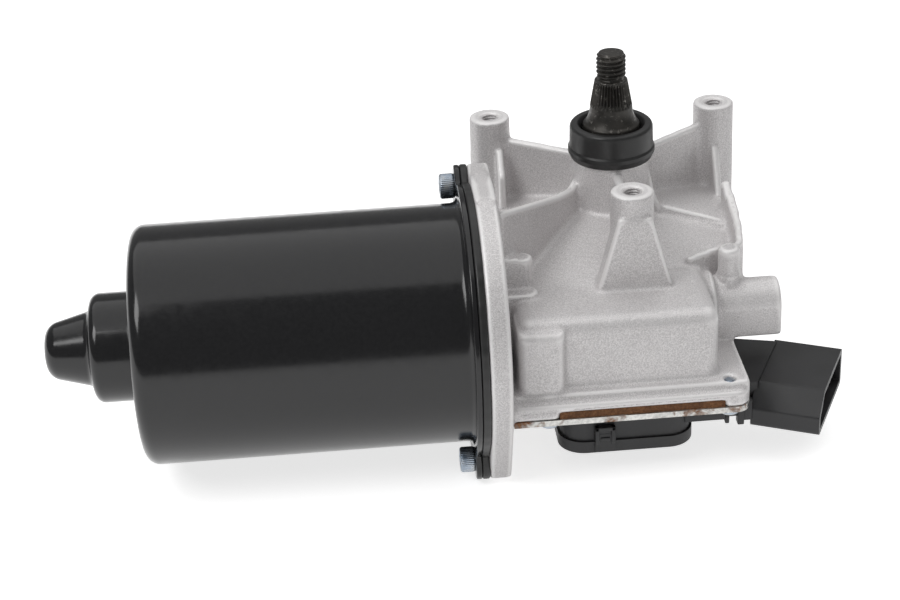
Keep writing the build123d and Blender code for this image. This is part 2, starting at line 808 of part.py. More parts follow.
def worm_end_tube():
    """Round-topped nose over the worm's end bearing, with straight sides down to the base level"""
    start = BOX_X[1] - 3
    skirt = block((start, TUBE_END_X), (MOTOR_Y - TUBE_R, MOTOR_Y + TUBE_R), (BASE_TOP_Z, MOTOR_Z))
    return at_motor(ring_x(start, TUBE_END_X, TUBE_R)) + skirt


def housing_outside():
    chamber = plate(Circle(CHAMBER_R), BASE_TOP_Z - 1, DOME_HUB_Z)
    apron = block(BOX_X, (MOTOR_Y - 13, 0), (BASE_TOP_Z, DOME_HUB_Z))
    body = (chamber + apron) & under_dome(2 * CHAMBER_R, BASE_TOP_Z - 1)
    lowered = make_face(Polyline((0, 0), polar(90, -87), polar(90, -52), polar(90, -18), close=True))
    keep = under_dome(2 * CHAMBER_R, BASE_TOP_Z - 2, DOME_STEP)
    body -= plate(lowered, BASE_TOP_Z, 0) - keep
    body += ring_z(DOME_HUB_Z - 6, HUB_Z, HUB_R) + ring_z(HUB_Z, SPIGOT_Z - 1, SPIGOT_R)
    body += front_box()
    body += plate(base_outline(), BASE_Z, BASE_TOP_Z - LEDGE)
    ledge = base_outline() & Rectangle(4 * BASE_R, -2 * (BASE_FRONT + LEDGE))
    body += plate(ledge, BASE_TOP_Z - LEDGE, BASE_TOP_Z)
    body += at_motor(extrude(plane_x(CAST_FACE_X) * flange_outline(BOLT_R, 0), FLANGE_T))
    body += at_motor(ring_x(FLANGE_X, FLANGE_X + 5, SHOULDER_R))
    body += at_motor(ring_x(FLANGE_X, END_BORE_X, TUNNEL_OUTER_R))
    body += worm_end_tube()
    body += Pos(POST_X, POST_Y, 0) * ring_z(POST_FOOT_Z, POST_TOP_Z, POST_R)
    for x, y in boss_points()[:2]:
        body += boss(x, y, BASE_TOP_Z)
    body += boss(*boss_points()[2], BOX_TOP_Z - 2)
    for web in roof_ribs() + boss_fins():
        body += web
    return body + near_gusset()


def chamber_room():
    """Space for the worm wheel, open at the base"""
    inner_r = CHAMBER_R - CHAMBER_WALL
    drop = ROOF_T + DOME_STEP
    room = turned_z([
        (0, BASE_Z), (inner_r, BASE_Z), (inner_r, dome_z(inner_r, drop)),
        (HUB_R, dome_z(HUB_R, drop)), (0, dome_z(HUB_R, drop)),
    ])
    return room - ring_z(INNER_HUB_Z, DOME_HUB_Z, HUB_R - 1)


def box_room():
    """Hollow of the front box, open at the base"""
    wall = BOX_WALL_T
    return block((BOX_X[0] + wall, BOX_X[1] - wall), (BOX_FRONT + wall, MOTOR_Y - TUNNEL_OUTER_R),
                 (BASE_Z, BOX_TOP_Z - wall))


def gear_housing():
    body = housing_outside()
    pilot = ring_x(CAST_FACE_X - PILOT_LENGTH, CAST_FACE_X, CAN_BORE_R - 0.1, CAN_BORE_R - PILOT_WALL)
    body += at_motor(pilot)
    seat_x = front_bearing_x()
    recess = ring_x(CAST_FACE_X, FLANGE_X - 4.5, CAN_BORE_R - PILOT_WALL, BEARING_R + SEAT_WALL)
    body -= at_motor(recess)
    body += at_motor(ring_x(seat_x, CAST_FACE_X, BEARING_R + SEAT_WALL, BEARING_R))
    body -= at_motor(ring_x(seat_x, FLANGE_X, BEARING_R))
    body -= at_motor(ring_x(FLANGE_X - 1, FLANGE_X + 3, BEARING_R - 3))
    body -= chamber_room()
    body -= box_room()
    body -= at_motor(ring_x(FLANGE_X, TUNNEL_END_X, TUNNEL_R))
    body -= at_motor(ring_x(TUNNEL_END_X, TUBE_END_X, END_BORE_R))
    body -= ring_z(INNER_HUB_Z, SPIGOT_Z, BUSH_R)
    body -= plate(seal_outline(), BASE_Z, BASE_Z + SEAL_T)
    slot_width = SLOT_X[1] - SLOT_X[0]
    slot = Pos((SLOT_X[0] + SLOT_X[1]) / 2, BASE_FRONT) * Rectangle(slot_width, 2 * (SEAL_FRONT - BASE_FRONT))
    body -= plate(slot, BASE_Z, BASE_Z + SEAL_T)
    for (x, y), depth in zip(boss_points(), BOSS_HOLE_DEPTHS):
        body -= Pos(x, y, 0) * ring_z(-depth, 0, BOSS_HOLE_R)
    for x, y in screw_points():
        body -= Pos(x, y, 0) * ring_z(BASE_Z, BASE_TOP_Z, SCREW_R)
    return body


# ---- output shaft group ----

def bush(z0):
    return ring_z(z0, z0 + BUSH_LENGTH, BUSH_R, OUTPUT_R + RUNNING)


def shaft_seal():
    return ring_z(SPIGOT_Z - 3.5, SPIGOT_Z - 1, BUSH_R, OUTPUT_R + LOOSE)


def collar_washer():
    return ring_z(SPIGOT_Z - 1, COLLAR_Z - END_PLAY, COLLAR_R - 0.4, OUTPUT_R + LOOSE)


def rubber_cap():
    """Moulded cap that grips the hub spigot and keeps water off the shaft"""
    body = turned_z([
        (HUB_R + 0.1, CAP_BOTTOM_Z), (CAP_R - 0.4, CAP_BOTTOM_Z),
        (CAP_LIP_R, CAP_LIP_Z - 0.6), (CAP_LIP_R, CAP_LIP_Z + 0.3),
        (CAP_R + 0.1, CAP_LIP_Z + 1.2), (CAP_R, CAP_TOP_Z - 1.6), (CAP_R - 1.4, CAP_TOP_Z),
        (CAP_MOUTH_R + 1.2, CAP_TOP_Z), (CAP_MOUTH_R, CAP_TOP_Z - 1.8), (CAP_MOUTH_R, SPIGOT_Z - 1),
        (SPIGOT_R, SPIGOT_Z - 1), (SPIGOT_R, HUB_Z), (HUB_R + 0.1, HUB_Z),
    ])
    return body


def knurl_section(radius):
    """Serrated outline of the tapered drive end"""
    points = []
    for index in range(KNURL_TEETH):
        step = 360 / KNURL_TEETH
        points.append(polar(radius, index * step))
        points.append(polar(radius - KNURL_DEPTH, (index + 0.5) * step))
    return make_face(Polyline(*points, close=True))


def output_shaft():
    stem = turned_z([
        (0, SHAFT_BOTTOM_Z), (OUTPUT_R - 0.8, SHAFT_BOTTOM_Z), (OUTPUT_R, SHAFT_BOTTOM_Z + 0.8),
        (OUTPUT_R, COLLAR_Z), (COLLAR_R, COLLAR_Z), (COLLAR_R, COLLAR_TOP_Z),
        (COLLAR_R - 0.6, COLLAR_TOP_Z + 0.7), (COLLAR_R - 1.7, COLLAR_TOP_Z + 2.4),
        (KNURL_R, KNURL_Z), (0, KNURL_Z),
    ])
    groove_z = WHEEL_HUB_Z[0] - CLIP_T
    stem -= ring_z(groove_z, WHEEL_HUB_Z[0], OUTPUT_R + 1, CLIP_GROOVE_R)
    lower = Pos(0, 0, KNURL_Z) * knurl_section(KNURL_R)
    upper = Pos(0, 0, THREAD_Z - 1) * knurl_section(KNURL_TOP_R)
    knurl = loft([lower.face(), upper.face()], ruled=True)
    neck = ring_z(THREAD_Z - 1, THREAD_Z, THREAD_R - 0.7)
    thread = turned_z([
        (0, THREAD_Z), (THREAD_R, THREAD_Z), (THREAD_R, THREAD_TOP_Z - 1),
        (THREAD_R - 1, THREAD_TOP_Z), (0, THREAD_TOP_Z),
    ])
    return stem + knurl + neck + thread


def wheel_section():
    """Section across the wheel: straight-flanked teeth with a gap facing the worm"""
    tip_r = WHEEL_PITCH_R + ADDENDUM
    root_r = WHEEL_PITCH_R - DEDENDUM
    slope = tan(radians(PRESSURE_ANGLE))
    half_pitch_tooth = WORM_LEAD / 4 - TOOTH_THINNING / 2
    half_tip = (half_pitch_tooth - ADDENDUM * slope) / tip_r
    half_root = (half_pitch_tooth + DEDENDUM * slope) / root_r
    half_pitch = half_pitch_tooth / WHEEL_PITCH_R
    points = []
    for index in range(WHEEL_TEETH):
        middle = -pi / 2 + 2 * pi * (index + 0.5) / WHEEL_TEETH
        for radius, half in ((root_r, -half_root), (WHEEL_PITCH_R, -half_pitch), (tip_r, -half_tip),
                             (tip_r, half_tip), (WHEEL_PITCH_R, half_pitch), (root_r, half_root)):
            points.append((radius * cos(middle + half), radius * sin(middle + half)))
    return make_face(Polyline(*points, close=True))


def worm_wheel():
    """Helical wheel with a thin web, moulded round its steel hub"""
    twist = degrees(WHEEL_WIDTH * tan(LEAD_ANGLE) / WHEEL_PITCH_R)
    section = Rot(Z=-twist / 2) * wheel_section()
    teeth = Solid.extrude_linear_with_rotation(section.face(), (0, 0, 0), (0, 0, WHEEL_WIDTH), twist)
    bottom = MOTOR_Z - WHEEL_WIDTH / 2
    above = MOTOR_Z + WHEEL_WIDTH
    wheel = Pos(0, 0, bottom) * teeth
    wheel -= ring_z(MOTOR_Z - WHEEL_WIDTH, above, WHEEL_HUB_R)
    wheel -= ring_z(bottom + WHEEL_WEB_T, above, WHEEL_RIM_R, WHEEL_HUB_R + WHEEL_BOSS_T)
    return wheel


def wheel_hub():
    return ring_z(*WHEEL_HUB_Z, WHEEL_HUB_R, OUTPUT_R)


def wheel_washer():
    return ring_z(WHEEL_HUB_Z[1], INNER_HUB_Z - END_PLAY, WHEEL_HUB_R - 2, OUTPUT_R + LOOSE)


def shaft_clip():
    """Open retaining ring in its groove below the wheel hub"""
    ring = ring_z(WHEEL_HUB_Z[0] - CLIP_T, WHEEL_HUB_Z[0], CLIP_R, CLIP_GROOVE_R)
    half_mouth = CLIP_GROOVE_R * 0.8
    return ring - block((0, 2 * CLIP_R), (-half_mouth, half_mouth), (SHAFT_BOTTOM_Z, MOTOR_Z))


def park_disc():
    """Contact track on the underside of the wheel, with its switching gap"""
    top = MOTOR_Z - WHEEL_WIDTH / 2
    disc = ring_z(top - DISC_T, top, DISC_R[1], DISC_R[0])
    reach = 2 * DISC_R[1]
    sector = make_face(Polyline((0, 0), polar(reach, PARK_GAP[0]), polar(reach, PARK_GAP[1]), close=True))
    return disc - plate(sector - Circle(PARK_GAP_R), top - DISC_T, top)


# ---- cover, contacts and connector ----

def screw_points():
    return [(x, SCREW_Y) for x in SCREW_X] + [polar(EAR_CIRCLE_R, angle) for angle in EAR_ANGLES]


def cover_gasket():
    return plate(seal_outline(), BASE_Z, BASE_Z + SEAL_T)


def bottom_cover():
    beside_flange = Pos(FLANGE_X + COVER_GAP + 2 * BASE_R, 0) * Rectangle(4 * BASE_R, 4 * BASE_R)
    outline = base_outline() & beside_flange
    window = Pos((WINDOW_X[0] + WINDOW_X[1]) / 2, (WINDOW_Y[0] + WINDOW_Y[1]) / 2)
    window *= Rectangle(WINDOW_X[1] - WINDOW_X[0], WINDOW_Y[1] - WINDOW_Y[0])
    cover = plate(outline - window, COVER_Z, BASE_Z)
    for x, y in screw_points():
        cover -= Pos(x, y, 0) * ring_z(COVER_Z, BASE_Z, SCREW_R + LOOSE)
    return cover


def cover_screws():
    screws = []
    head_z = COVER_Z - SCREW_HEAD_H
    for x, y in screw_points():
        head = turned_z([
            (0, head_z), (SCREW_HEAD_R - 1.6, head_z), (SCREW_HEAD_R - 0.4, head_z + 0.8),
            (SCREW_HEAD_R, COVER_Z), (0, COVER_Z),
        ])
        cross = Rectangle(CROSS_L, CROSS_W) + Rectangle(CROSS_W, CROSS_L)
        head -= plate(cross, head_z, COVER_Z - SCREW_HEAD_H / 2)
        shank = ring_z(COVER_Z, BASE_TOP_Z - 0.5, SCREW_R)
        screws.append(Pos(x, y, 0) * (head + shank))
    return Compound(children=screws)


def contact_outline(grow=0.0):
    width = CONTACT_X[1] - CONTACT_X[0] + 2 * grow
    depth = CONTACT_Y[1] - CONTACT_Y[0] + 2 * grow
    middle = Pos((CONTACT_X[0] + CONTACT_X[1]) / 2, (CONTACT_Y[0] + CONTACT_Y[1]) / 2)
    return middle * RectangleRounded(width, depth, CONTACT_CORNER_R + grow)


def shroud_frame():
    """Connector frame: X out of the opening, Y along its width, origin at the near lower corner"""
    return Pos(*SHROUD_CORNER, SHROUD_Z[0]) * Rot(Z=SHROUD_YAW)


def shroud_point(across):
    """Plan point just inside the closed end of the shroud, at a distance across it"""
    along = 1 - SHROUD_LENGTH
    yaw = radians(SHROUD_YAW)
    x = SHROUD_CORNER[0] + along * cos(yaw) - across * sin(yaw)
    y = SHROUD_CORNER[1] + along * sin(yaw) + across * cos(yaw)
    return x, y


def shroud_section(inset):
    """Section of the connector shroud with its sloping near top edge"""
    height = SHROUD_Z[1] - SHROUD_Z[0]
    corners = [
        (inset, inset), (SHROUD_WIDTH - inset, inset), (SHROUD_WIDTH - inset, height - inset),
        (SHROUD_BEVEL + inset * 0.4, height - inset), (inset, height - SHROUD_BEVEL - inset * 0.4),
    ]
    section = make_face(Polyline(*corners, close=True))
    return fillet(section.vertices(), 0.8 if inset else 1.5)


def connector_shroud():
    back = plane_x(-SHROUD_LENGTH)
    shell = extrude(back * shroud_section(0), SHROUD_LENGTH)
    mouth = extrude(plane_x(-SHROUD_DEPTH) * shroud_section(SHROUD_WALL), SHROUD_DEPTH)
    nubs = block((-4.5, -1.5), (SHROUD_WIDTH - 0.5, SHROUD_WIDTH + 1.0), (3.0, 6.0))
    return shroud_frame() * (shell + nubs - mouth)


def contact_housing():
    """Plastic contact carrier under the cover, with its tower, arm and connector"""
    top = COVER_Z
    floor = top - CONTACT_DEPTH
    body = plate(contact_outline(), floor, top)
    hollow = plate(contact_outline(-CONTACT_WALL), floor, top - CONTACT_WALL)
    tower_x = (WINDOW_X[0] + LOOSE, WINDOW_X[1] - LOOSE)
    tower_y = (WINDOW_Y[0] + LOOSE, WINDOW_Y[1] - LOOSE)
    tower = block(tower_x, tower_y, (top - CONTACT_WALL, TOWER_TOP_Z))
    body = body - hollow + tower
    arm_x = CONTACT_X[1] - CONTACT_WALL
    near = (arm_x, CONTACT_Y[0] + CONTACT_CORNER_R)
    far = (arm_x, CONTACT_Y[1] - CONTACT_CORNER_R)
    arm = Polyline(near, shroud_point(ARM_Y[0]), shroud_point(ARM_Y[1]), far, close=True)
    body += plate(make_face(arm), floor + CONTACT_WALL, top)
    return body + connector_shroud()


def contact_lid():
    """Snap-on tray lid with a thin rim and a latch tab"""
    top = COVER_Z - CONTACT_DEPTH
    lid = plate(contact_outline(LID_RIM), top - LID_T, top)
    lid -= plate(contact_outline(0), top - 0.6 * LID_T, top)
    lid += plate(contact_outline(-CONTACT_WALL), top - LID_T, top)
    latch_y = (CONTACT_Y[0] - LATCH_T, CONTACT_Y[0])
    return lid + block(LATCH_X, latch_y, (top - LID_T + LATCH_GAP, top + LATCH_REACH))


def pin_places():
    """Local Y of each blade across the connector"""
    pitch = (SHROUD_WIDTH - 8) / PIN_COUNT
    return [PIN_START + pitch * index for index in range(PIN_COUNT)]


def terminal_pins():
    pins = []
    for y in pin_places():
        along = (-SHROUD_DEPTH, -SHROUD_DEPTH + PIN_REACH)
        blade = block(along, (y, y + PIN_SIZE[1]), (PIN_LIFT, PIN_LIFT + PIN_SIZE[0]))
        pins.append(shroud_frame() * blade)
    return Compound(children=pins)


def contact_fingers():
    """Leaf springs that rise from the tower to the park track"""
    fingers = []
    track_z = MOTOR_Z - WHEEL_WIDTH / 2 - DISC_T - FINGER_GAP
    back_y = WINDOW_Y[0] + 2.0
    tip_y = WINDOW_Y[1] - 2.0
    for x in FINGER_X:
        outline = [
            (back_y, TOWER_TOP_Z), (back_y, TOWER_TOP_Z + FINGER_T), (back_y + 2, TOWER_TOP_Z + FINGER_T),
            (tip_y - 0.6, track_z), (tip_y + 1.2, track_z - 0.8), (tip_y + 1.0, track_z - 0.8 - FINGER_T),
            (tip_y - 0.6, track_z - FINGER_T), (back_y + 2.2, TOWER_TOP_Z),
        ]
        face = make_face(Polyline(*[(0, y, z) for y, z in outline], close=True))
        fingers.append(Pos(x, 0, 0) * extrude(face, FINGER_W / 2, both=True))
    return Compound(children=fingers)


PARTS = {
    "gear_housing": gear_housing,
    "motor_can": motor_can,
    "flange_gasket": flange_gasket,
    "can_bolts": can_bolts,
    "field_magnets": field_magnets,
    "preload_washer": preload_washer,
    "brush_plate": brush_plate,
    "brush_boxes": brush_boxes,
    "carbon_brushes": carbon_brushes,
    "brush_springs": brush_springs,
    "suppression_chokes": suppression_chokes,
    "worm_end_bush": worm_end_bush,
    "thrust_pad": thrust_pad,
    "tube_end_plug": tube_end_plug,
    "lower_bush": lambda: bush(INNER_HUB_Z),
    "upper_bush": lambda: bush(SPIGOT_Z - 3.5 - BUSH_LENGTH),
    "shaft_seal": shaft_seal,
    "collar_washer": collar_washer,
    "rubber_cap": rubber_cap,
    "cover_gasket": cover_gasket,
    "bottom_cover": bottom_cover,
    "cover_screws": cover_screws,
    "contact_housing": contact_housing,
    "contact_lid": contact_lid,
    "terminal_pins": terminal_pins,
    "contact_fingers": contact_fingers,
    "rear_outer_race": lambda: outer_race(REAR_BEARING_X),
    "rear_inner_race": lambda: inner_race(REAR_BEARING_X),
    "rear_bearing_balls": lambda: bearing_balls(REAR_BEARING_X),
    "rear_bearing_cage": lambda: bearing_cage(REAR_BEARING_X),
    "front_outer_race": lambda: outer_race(front_bearing_x()),
    "front_inner_race": lambda: inner_race(front_bearing_x()),
    "front_bearing_balls": lambda: bearing_balls(front_bearing_x()),
    "front_bearing_cage": lambda: bearing_cage(front_bearing_x()),
    "armature_shaft": armature_shaft,
    "lamination_stack": lamination_stack,
    "armature_windings": armature_windings,
    "commutator": commutator,
    "output_shaft": output_shaft,
    "worm_wheel": worm_wheel,
    "wheel_hub": wheel_hub,
    "wheel_washer": wheel_washer,
    "shaft_clip": shaft_clip,
    "park_disc": park_disc,
}

os.makedirs("parts", exist_ok=True)
for node, make in PARTS.items():
    save(node, make())
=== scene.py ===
import json
from math import cos, pi, radians, sin, tan

import bmesh
import bpy
import numpy as np
from mathutils import Matrix, Vector


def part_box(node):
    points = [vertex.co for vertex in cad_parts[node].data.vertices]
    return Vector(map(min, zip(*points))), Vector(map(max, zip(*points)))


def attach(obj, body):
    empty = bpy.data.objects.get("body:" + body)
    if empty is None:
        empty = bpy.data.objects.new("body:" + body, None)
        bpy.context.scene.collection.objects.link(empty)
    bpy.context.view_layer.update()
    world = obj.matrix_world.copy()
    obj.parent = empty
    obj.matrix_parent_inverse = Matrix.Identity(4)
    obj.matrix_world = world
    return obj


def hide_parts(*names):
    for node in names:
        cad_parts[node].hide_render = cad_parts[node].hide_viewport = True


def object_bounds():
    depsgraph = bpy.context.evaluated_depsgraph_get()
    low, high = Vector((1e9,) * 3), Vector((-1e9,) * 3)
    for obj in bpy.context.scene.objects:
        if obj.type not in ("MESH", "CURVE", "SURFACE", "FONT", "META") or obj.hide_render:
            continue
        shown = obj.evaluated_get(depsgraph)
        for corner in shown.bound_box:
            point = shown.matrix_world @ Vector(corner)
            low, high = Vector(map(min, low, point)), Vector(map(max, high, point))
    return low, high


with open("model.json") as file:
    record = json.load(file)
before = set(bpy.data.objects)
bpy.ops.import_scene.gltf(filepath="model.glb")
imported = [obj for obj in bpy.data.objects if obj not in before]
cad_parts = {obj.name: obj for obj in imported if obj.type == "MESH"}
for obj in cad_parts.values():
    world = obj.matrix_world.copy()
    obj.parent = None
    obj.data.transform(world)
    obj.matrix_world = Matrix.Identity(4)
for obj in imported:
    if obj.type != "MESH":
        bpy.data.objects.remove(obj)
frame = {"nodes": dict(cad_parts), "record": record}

CAD_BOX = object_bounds()

# ---- shared sizes, in metres, read from the frame where a CAD node has them ----
MM = 0.001
SHAFT_LOW, SHAFT_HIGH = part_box("output_shaft")
CAN_LOW, CAN_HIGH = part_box("motor_can")
WORM_LOW, WORM_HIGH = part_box("armature_shaft")
CAP_LOW, CAP_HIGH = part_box("rubber_cap")
SCREW_LOW, SCREW_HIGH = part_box("cover_screws")
COVER_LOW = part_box("bottom_cover")[0][2]
CLIP_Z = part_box("shaft_clip")[1][2]
MOTOR_Y = (WORM_LOW[1] + WORM_HIGH[1]) / 2
MOTOR_Z = (WORM_LOW[2] + WORM_HIGH[2]) / 2

# ---- camera, at the photograph's angle ----
CAMERA_AT = (-0.0939, -0.6343, 0.2777)
CAMERA_RIGHT = (0.99615, -0.07790, -0.04022)
CAMERA_UP = (0.07201, 0.46531, 0.88221)
CAMERA_LENS = 80.92
SENSOR_WIDTH = 36.0
CLIP_START = 0.01

# ---- light and floor ----
WORLD_LIGHT = 0.26
LAMP_AIM = (0, 0, -0.04)
# name, place, size in metres, watts
LAMPS = [
    ("overhead", (0.0, 0.3, 1.3), (2.6, 2.2), 15),
    ("key", (-0.7, -0.5, 0.8), (0.5, 0.5), 4),
]
FLOOR_COLOUR = (0.80, 0.80, 0.80)
FLOOR_ROUGHNESS = 0.9
FLOOR_GLOW = 0.72
FLOOR_REACH = 2.5
FLOOR_GAP = 0.2 * MM


# ---- node helpers ----

def new_material(name, colour, roughness, metallic=0.0):
    """Material with a Principled shader; returns it with its node tree and shader"""
    material = bpy.data.materials.new(name)
    material.use_nodes = True
    tree = material.node_tree
    shader = tree.nodes["Principled BSDF"]
    shader.inputs["Base Color"].default_value = (*colour, 1.0)
    shader.inputs["Roughness"].default_value = roughness
    shader.inputs["Metallic"].default_value = metallic
    return material, tree, shader


def add_noise(tree, scale, detail=4.0, roughness=0.55, distortion=0.0):
    """Noise in object space, so it stays put on the part"""
    place = tree.nodes.new("ShaderNodeTexCoord")
    node = tree.nodes.new("ShaderNodeTexNoise")
    node.inputs["Scale"].default_value = scale
    node.inputs["Detail"].default_value = detail
    node.inputs["Roughness"].default_value = roughness
    node.inputs["Distortion"].default_value = distortion
    tree.links.new(place.outputs["Object"], node.inputs["Vector"])
    return node.outputs["Fac"]


def add_ramp(tree, factor, stops):
    """Colour ramp from (position, colour) stops"""
    node = tree.nodes.new("ShaderNodeValToRGB")
    elements = node.color_ramp.elements
    while len(elements) < len(stops):
        elements.new(0.5)
    for element, (position, colour) in zip(elements, stops):
        element.position = position
        element.color = (*colour, 1.0)
    tree.links.new(factor, node.inputs["Fac"])
    return node.outputs["Color"]


def add_range(tree, factor, low, high, from_low=0.3, from_high=0.7):
    """Map a factor onto low..high"""
    node = tree.nodes.new("ShaderNodeMapRange")
    node.inputs["From Min"].default_value = from_low
    node.inputs["From Max"].default_value = from_high
    node.inputs["To Min"].default_value = low
    node.inputs["To Max"].default_value = high
    tree.links.new(factor, node.inputs["Value"])
    return node.outputs["Result"]


def add_bump(tree, shader, height, depth, strength, normal=None):
    """Bump of a real depth in metres, over an earlier bump if there is one"""
    node = tree.nodes.new("ShaderNodeBump")
    node.inputs["Strength"].default_value = strength
    node.inputs["Distance"].default_value = depth
    tree.links.new(height, node.inputs["Height"])
    if normal is not None:
        tree.links.new(normal, node.inputs["Normal"])
    tree.links.new(node.outputs["Normal"], shader.inputs["Normal"])
    return node.outputs["Normal"]


def mix(tree, factor, first, second):
    """Mix two colours, each a socket or an RGB triple, by a factor socket"""
    node = tree.nodes.new("ShaderNodeMix")
    node.data_type = "RGBA"
    tree.links.new(factor, node.inputs["Factor"])
    for socket, value in ((node.inputs[6], first), (node.inputs[7], second)):
        if isinstance(value, tuple):
            socket.default_value = (*value, 1.0)
        else:
            tree.links.new(value, socket)
    return node.outputs[2]


# ---- materials ----

def cast_aluminium():
    """Blasted die casting: cool grey grain, with a painted highlight that lightens the edges
    where the surface bends
    """
    material, tree, shader = new_material("cast_aluminium", (0.62, 0.61, 0.61), 0.5, metallic=0.3)
    grain = add_noise(tree, scale=2600.0, detail=2.0, roughness=0.6)
    coarse = add_noise(tree, scale=950.0, detail=3.0, roughness=0.6)
    cloud = add_noise(tree, scale=28.0, detail=3.0)
    base = add_ramp(tree, cloud, [(0.35, (0.63, 0.61, 0.61)), (0.65, (0.74, 0.72, 0.72))])
    speckle = add_ramp(tree, grain, [(0.42, (0.45, 0.435, 0.435)), (0.62, (0.95, 0.93, 0.93))])
    tone = mix(tree, add_range(tree, coarse, low=0.25, high=0.6), base, speckle)
    # painted highlight: where the surface bends over a convex edge, the colour is lightened
    # towards near-white
    bend = tree.nodes.new("ShaderNodeAttribute")
    bend.attribute_name = "bend"
    edge_highlight = add_range(tree, bend.outputs["Fac"], low=0.0, high=0.75, from_low=0.03, from_high=0.14)
    tone = mix(tree, edge_highlight, tone, (0.96, 0.945, 0.94))
    tree.links.new(tone, shader.inputs["Base Color"])
    tree.links.new(add_range(tree, coarse, low=0.42, high=0.58), shader.inputs["Roughness"])
    rough = add_bump(tree, shader, coarse, depth=0.00008, strength=0.5)
    add_bump(tree, shader, grain, depth=0.00004, strength=0.6, normal=rough)
    return material


def black_paint():
    """Gloss black enamel with faint orange peel"""
    material, tree, shader = new_material("black_paint", (0.008, 0.008, 0.009), 0.16)
    peel = add_noise(tree, scale=260.0, detail=2.0)
    dust = add_noise(tree, scale=900.0, detail=1.0)
    tree.links.new(add_range(tree, peel, low=0.13, high=0.2), shader.inputs["Roughness"])
    tone = add_ramp(tree, dust, [(0.3, (0.006, 0.006, 0.007)), (0.8, (0.011, 0.011, 0.012))])
    tree.links.new(tone, shader.inputs["Base Color"])
    add_bump(tree, shader, peel, depth=0.00002, strength=0.35)
    return material


def rubber():
    """Smooth moulded rubber with a soft sheen"""
    material, tree, shader = new_material("black_rubber", (0.014, 0.014, 0.014), 0.42)
    cloud = add_noise(tree, scale=160.0, detail=3.0)
    tree.links.new(add_range(tree, cloud, low=0.34, high=0.5), shader.inputs["Roughness"])
    tone = add_ramp(tree, cloud, [(0.3, (0.010, 0.010, 0.010)), (0.7, (0.020, 0.020, 0.020))])
    tree.links.new(tone, shader.inputs["Base Color"])
    add_bump(tree, shader, cloud, depth=0.00004, strength=0.4)
    return material


def black_plastic():
    """Glass-filled nylon: dark grey, fine matt grain"""
    material, tree, shader = new_material("black_plastic", (0.022, 0.022, 0.024), 0.5)
    grain = add_noise(tree, scale=1400.0, detail=2.0)
    cloud = add_noise(tree, scale=90.0, detail=3.0)
    tone = add_ramp(tree, cloud, [(0.3, (0.016, 0.016, 0.017)), (0.7, (0.030, 0.030, 0.032))])
    tree.links.new(tone, shader.inputs["Base Color"])
    tree.links.new(add_range(tree, cloud, low=0.4, high=0.56), shader.inputs["Roughness"])
    add_bump(tree, shader, grain, depth=0.00003, strength=0.5)
    return material


def zinc():
    """Bright blue-passivated zinc plate"""
    material, tree, shader = new_material("zinc_steel", (0.36, 0.41, 0.47), 0.24, metallic=1.0)
    cloud = add_noise(tree, scale=240.0, detail=3.0)
    tone = add_ramp(tree, cloud, [
        (0.3, (0.22, 0.28, 0.36)), (0.55, (0.40, 0.44, 0.49)), (0.8, (0.52, 0.51, 0.48)),
    ])
    tree.links.new(tone, shader.inputs["Base Color"])
    tree.links.new(add_range(tree, cloud, low=0.18, high=0.34), shader.inputs["Roughness"])
    add_bump(tree, shader, cloud, depth=0.00002, strength=0.3)
    return material


def rusted_zinc_sheet():
    """Zinc-plated sheet that has gone brown in patches"""
    material, tree, shader = new_material("zinc_sheet", (0.55, 0.54, 0.52), 0.4, metallic=0.85)
    stain = add_noise(tree, scale=130.0, detail=6.0, roughness=0.65, distortion=0.6)
    fine = add_noise(tree, scale=900.0, detail=3.0)
    steel = add_ramp(tree, fine, [(0.3, (0.42, 0.42, 0.41)), (0.7, (0.66, 0.65, 0.62))])
    rust = add_ramp(tree, fine, [(0.3, (0.16, 0.06, 0.025)), (0.7, (0.36, 0.17, 0.07))])
    amount = add_range(tree, stain, low=0.0, high=1.0, from_low=0.52, from_high=0.62)
    rough = add_range(tree, stain, low=0.32, high=0.75, from_low=0.45, from_high=0.65)
    metal = add_range(tree, stain, low=0.95, high=0.1, from_low=0.5, from_high=0.6)
    tree.links.new(mix(tree, amount, steel, rust), shader.inputs["Base Color"])
    tree.links.new(rough, shader.inputs["Roughness"])
    tree.links.new(metal, shader.inputs["Metallic"])
    add_bump(tree, shader, fine, depth=0.00004, strength=0.5)
    return material


def fibre_gasket():
    """Brown fibre gasket, dry and slightly crumbled at its edge"""
    material, tree, shader = new_material("brown_gasket", (0.20, 0.09, 0.04), 0.9)
    fibre = add_noise(tree, scale=1100.0, detail=5.0, roughness=0.7)
    patch = add_noise(tree, scale=200.0, detail=4.0)
    tone = add_ramp(tree, fibre, [
        (0.3, (0.09, 0.035, 0.015)), (0.6, (0.28, 0.13, 0.055)), (0.8, (0.40, 0.22, 0.11)),
    ])
    dark = add_range(tree, patch, low=0.0, high=0.5, from_low=0.45, from_high=0.7)
    tree.links.new(mix(tree, dark, tone, (0.07, 0.028, 0.014)), shader.inputs["Base Color"])
    add_bump(tree, shader, fibre, depth=0.0002, strength=0.8)
    return material


def phosphated_steel():
    """Dark phosphate coat, rubbed to bare metal in places"""
    dark_grey = (0.045, 0.043, 0.04)
    material, tree, shader = new_material("phosphated_steel", dark_grey, 0.42, metallic=0.6)
    wear = add_noise(tree, scale=700.0, detail=4.0, roughness=0.65)
    cloud = add_noise(tree, scale=120.0, detail=3.0)
    coat = add_ramp(tree, cloud, [(0.3, (0.022, 0.021, 0.019)), (0.7, (0.065, 0.060, 0.054))])
    amount = add_range(tree, wear, low=0.0, high=0.6, from_low=0.58, from_high=0.75)
    tree.links.new(mix(tree, amount, coat, (0.42, 0.40, 0.37)), shader.inputs["Base Color"])
    tree.links.new(add_range(tree, wear, low=0.5, high=0.28), shader.inputs["Roughness"])
    add_bump(tree, shader, wear, depth=0.00005, strength=0.6)
    return material


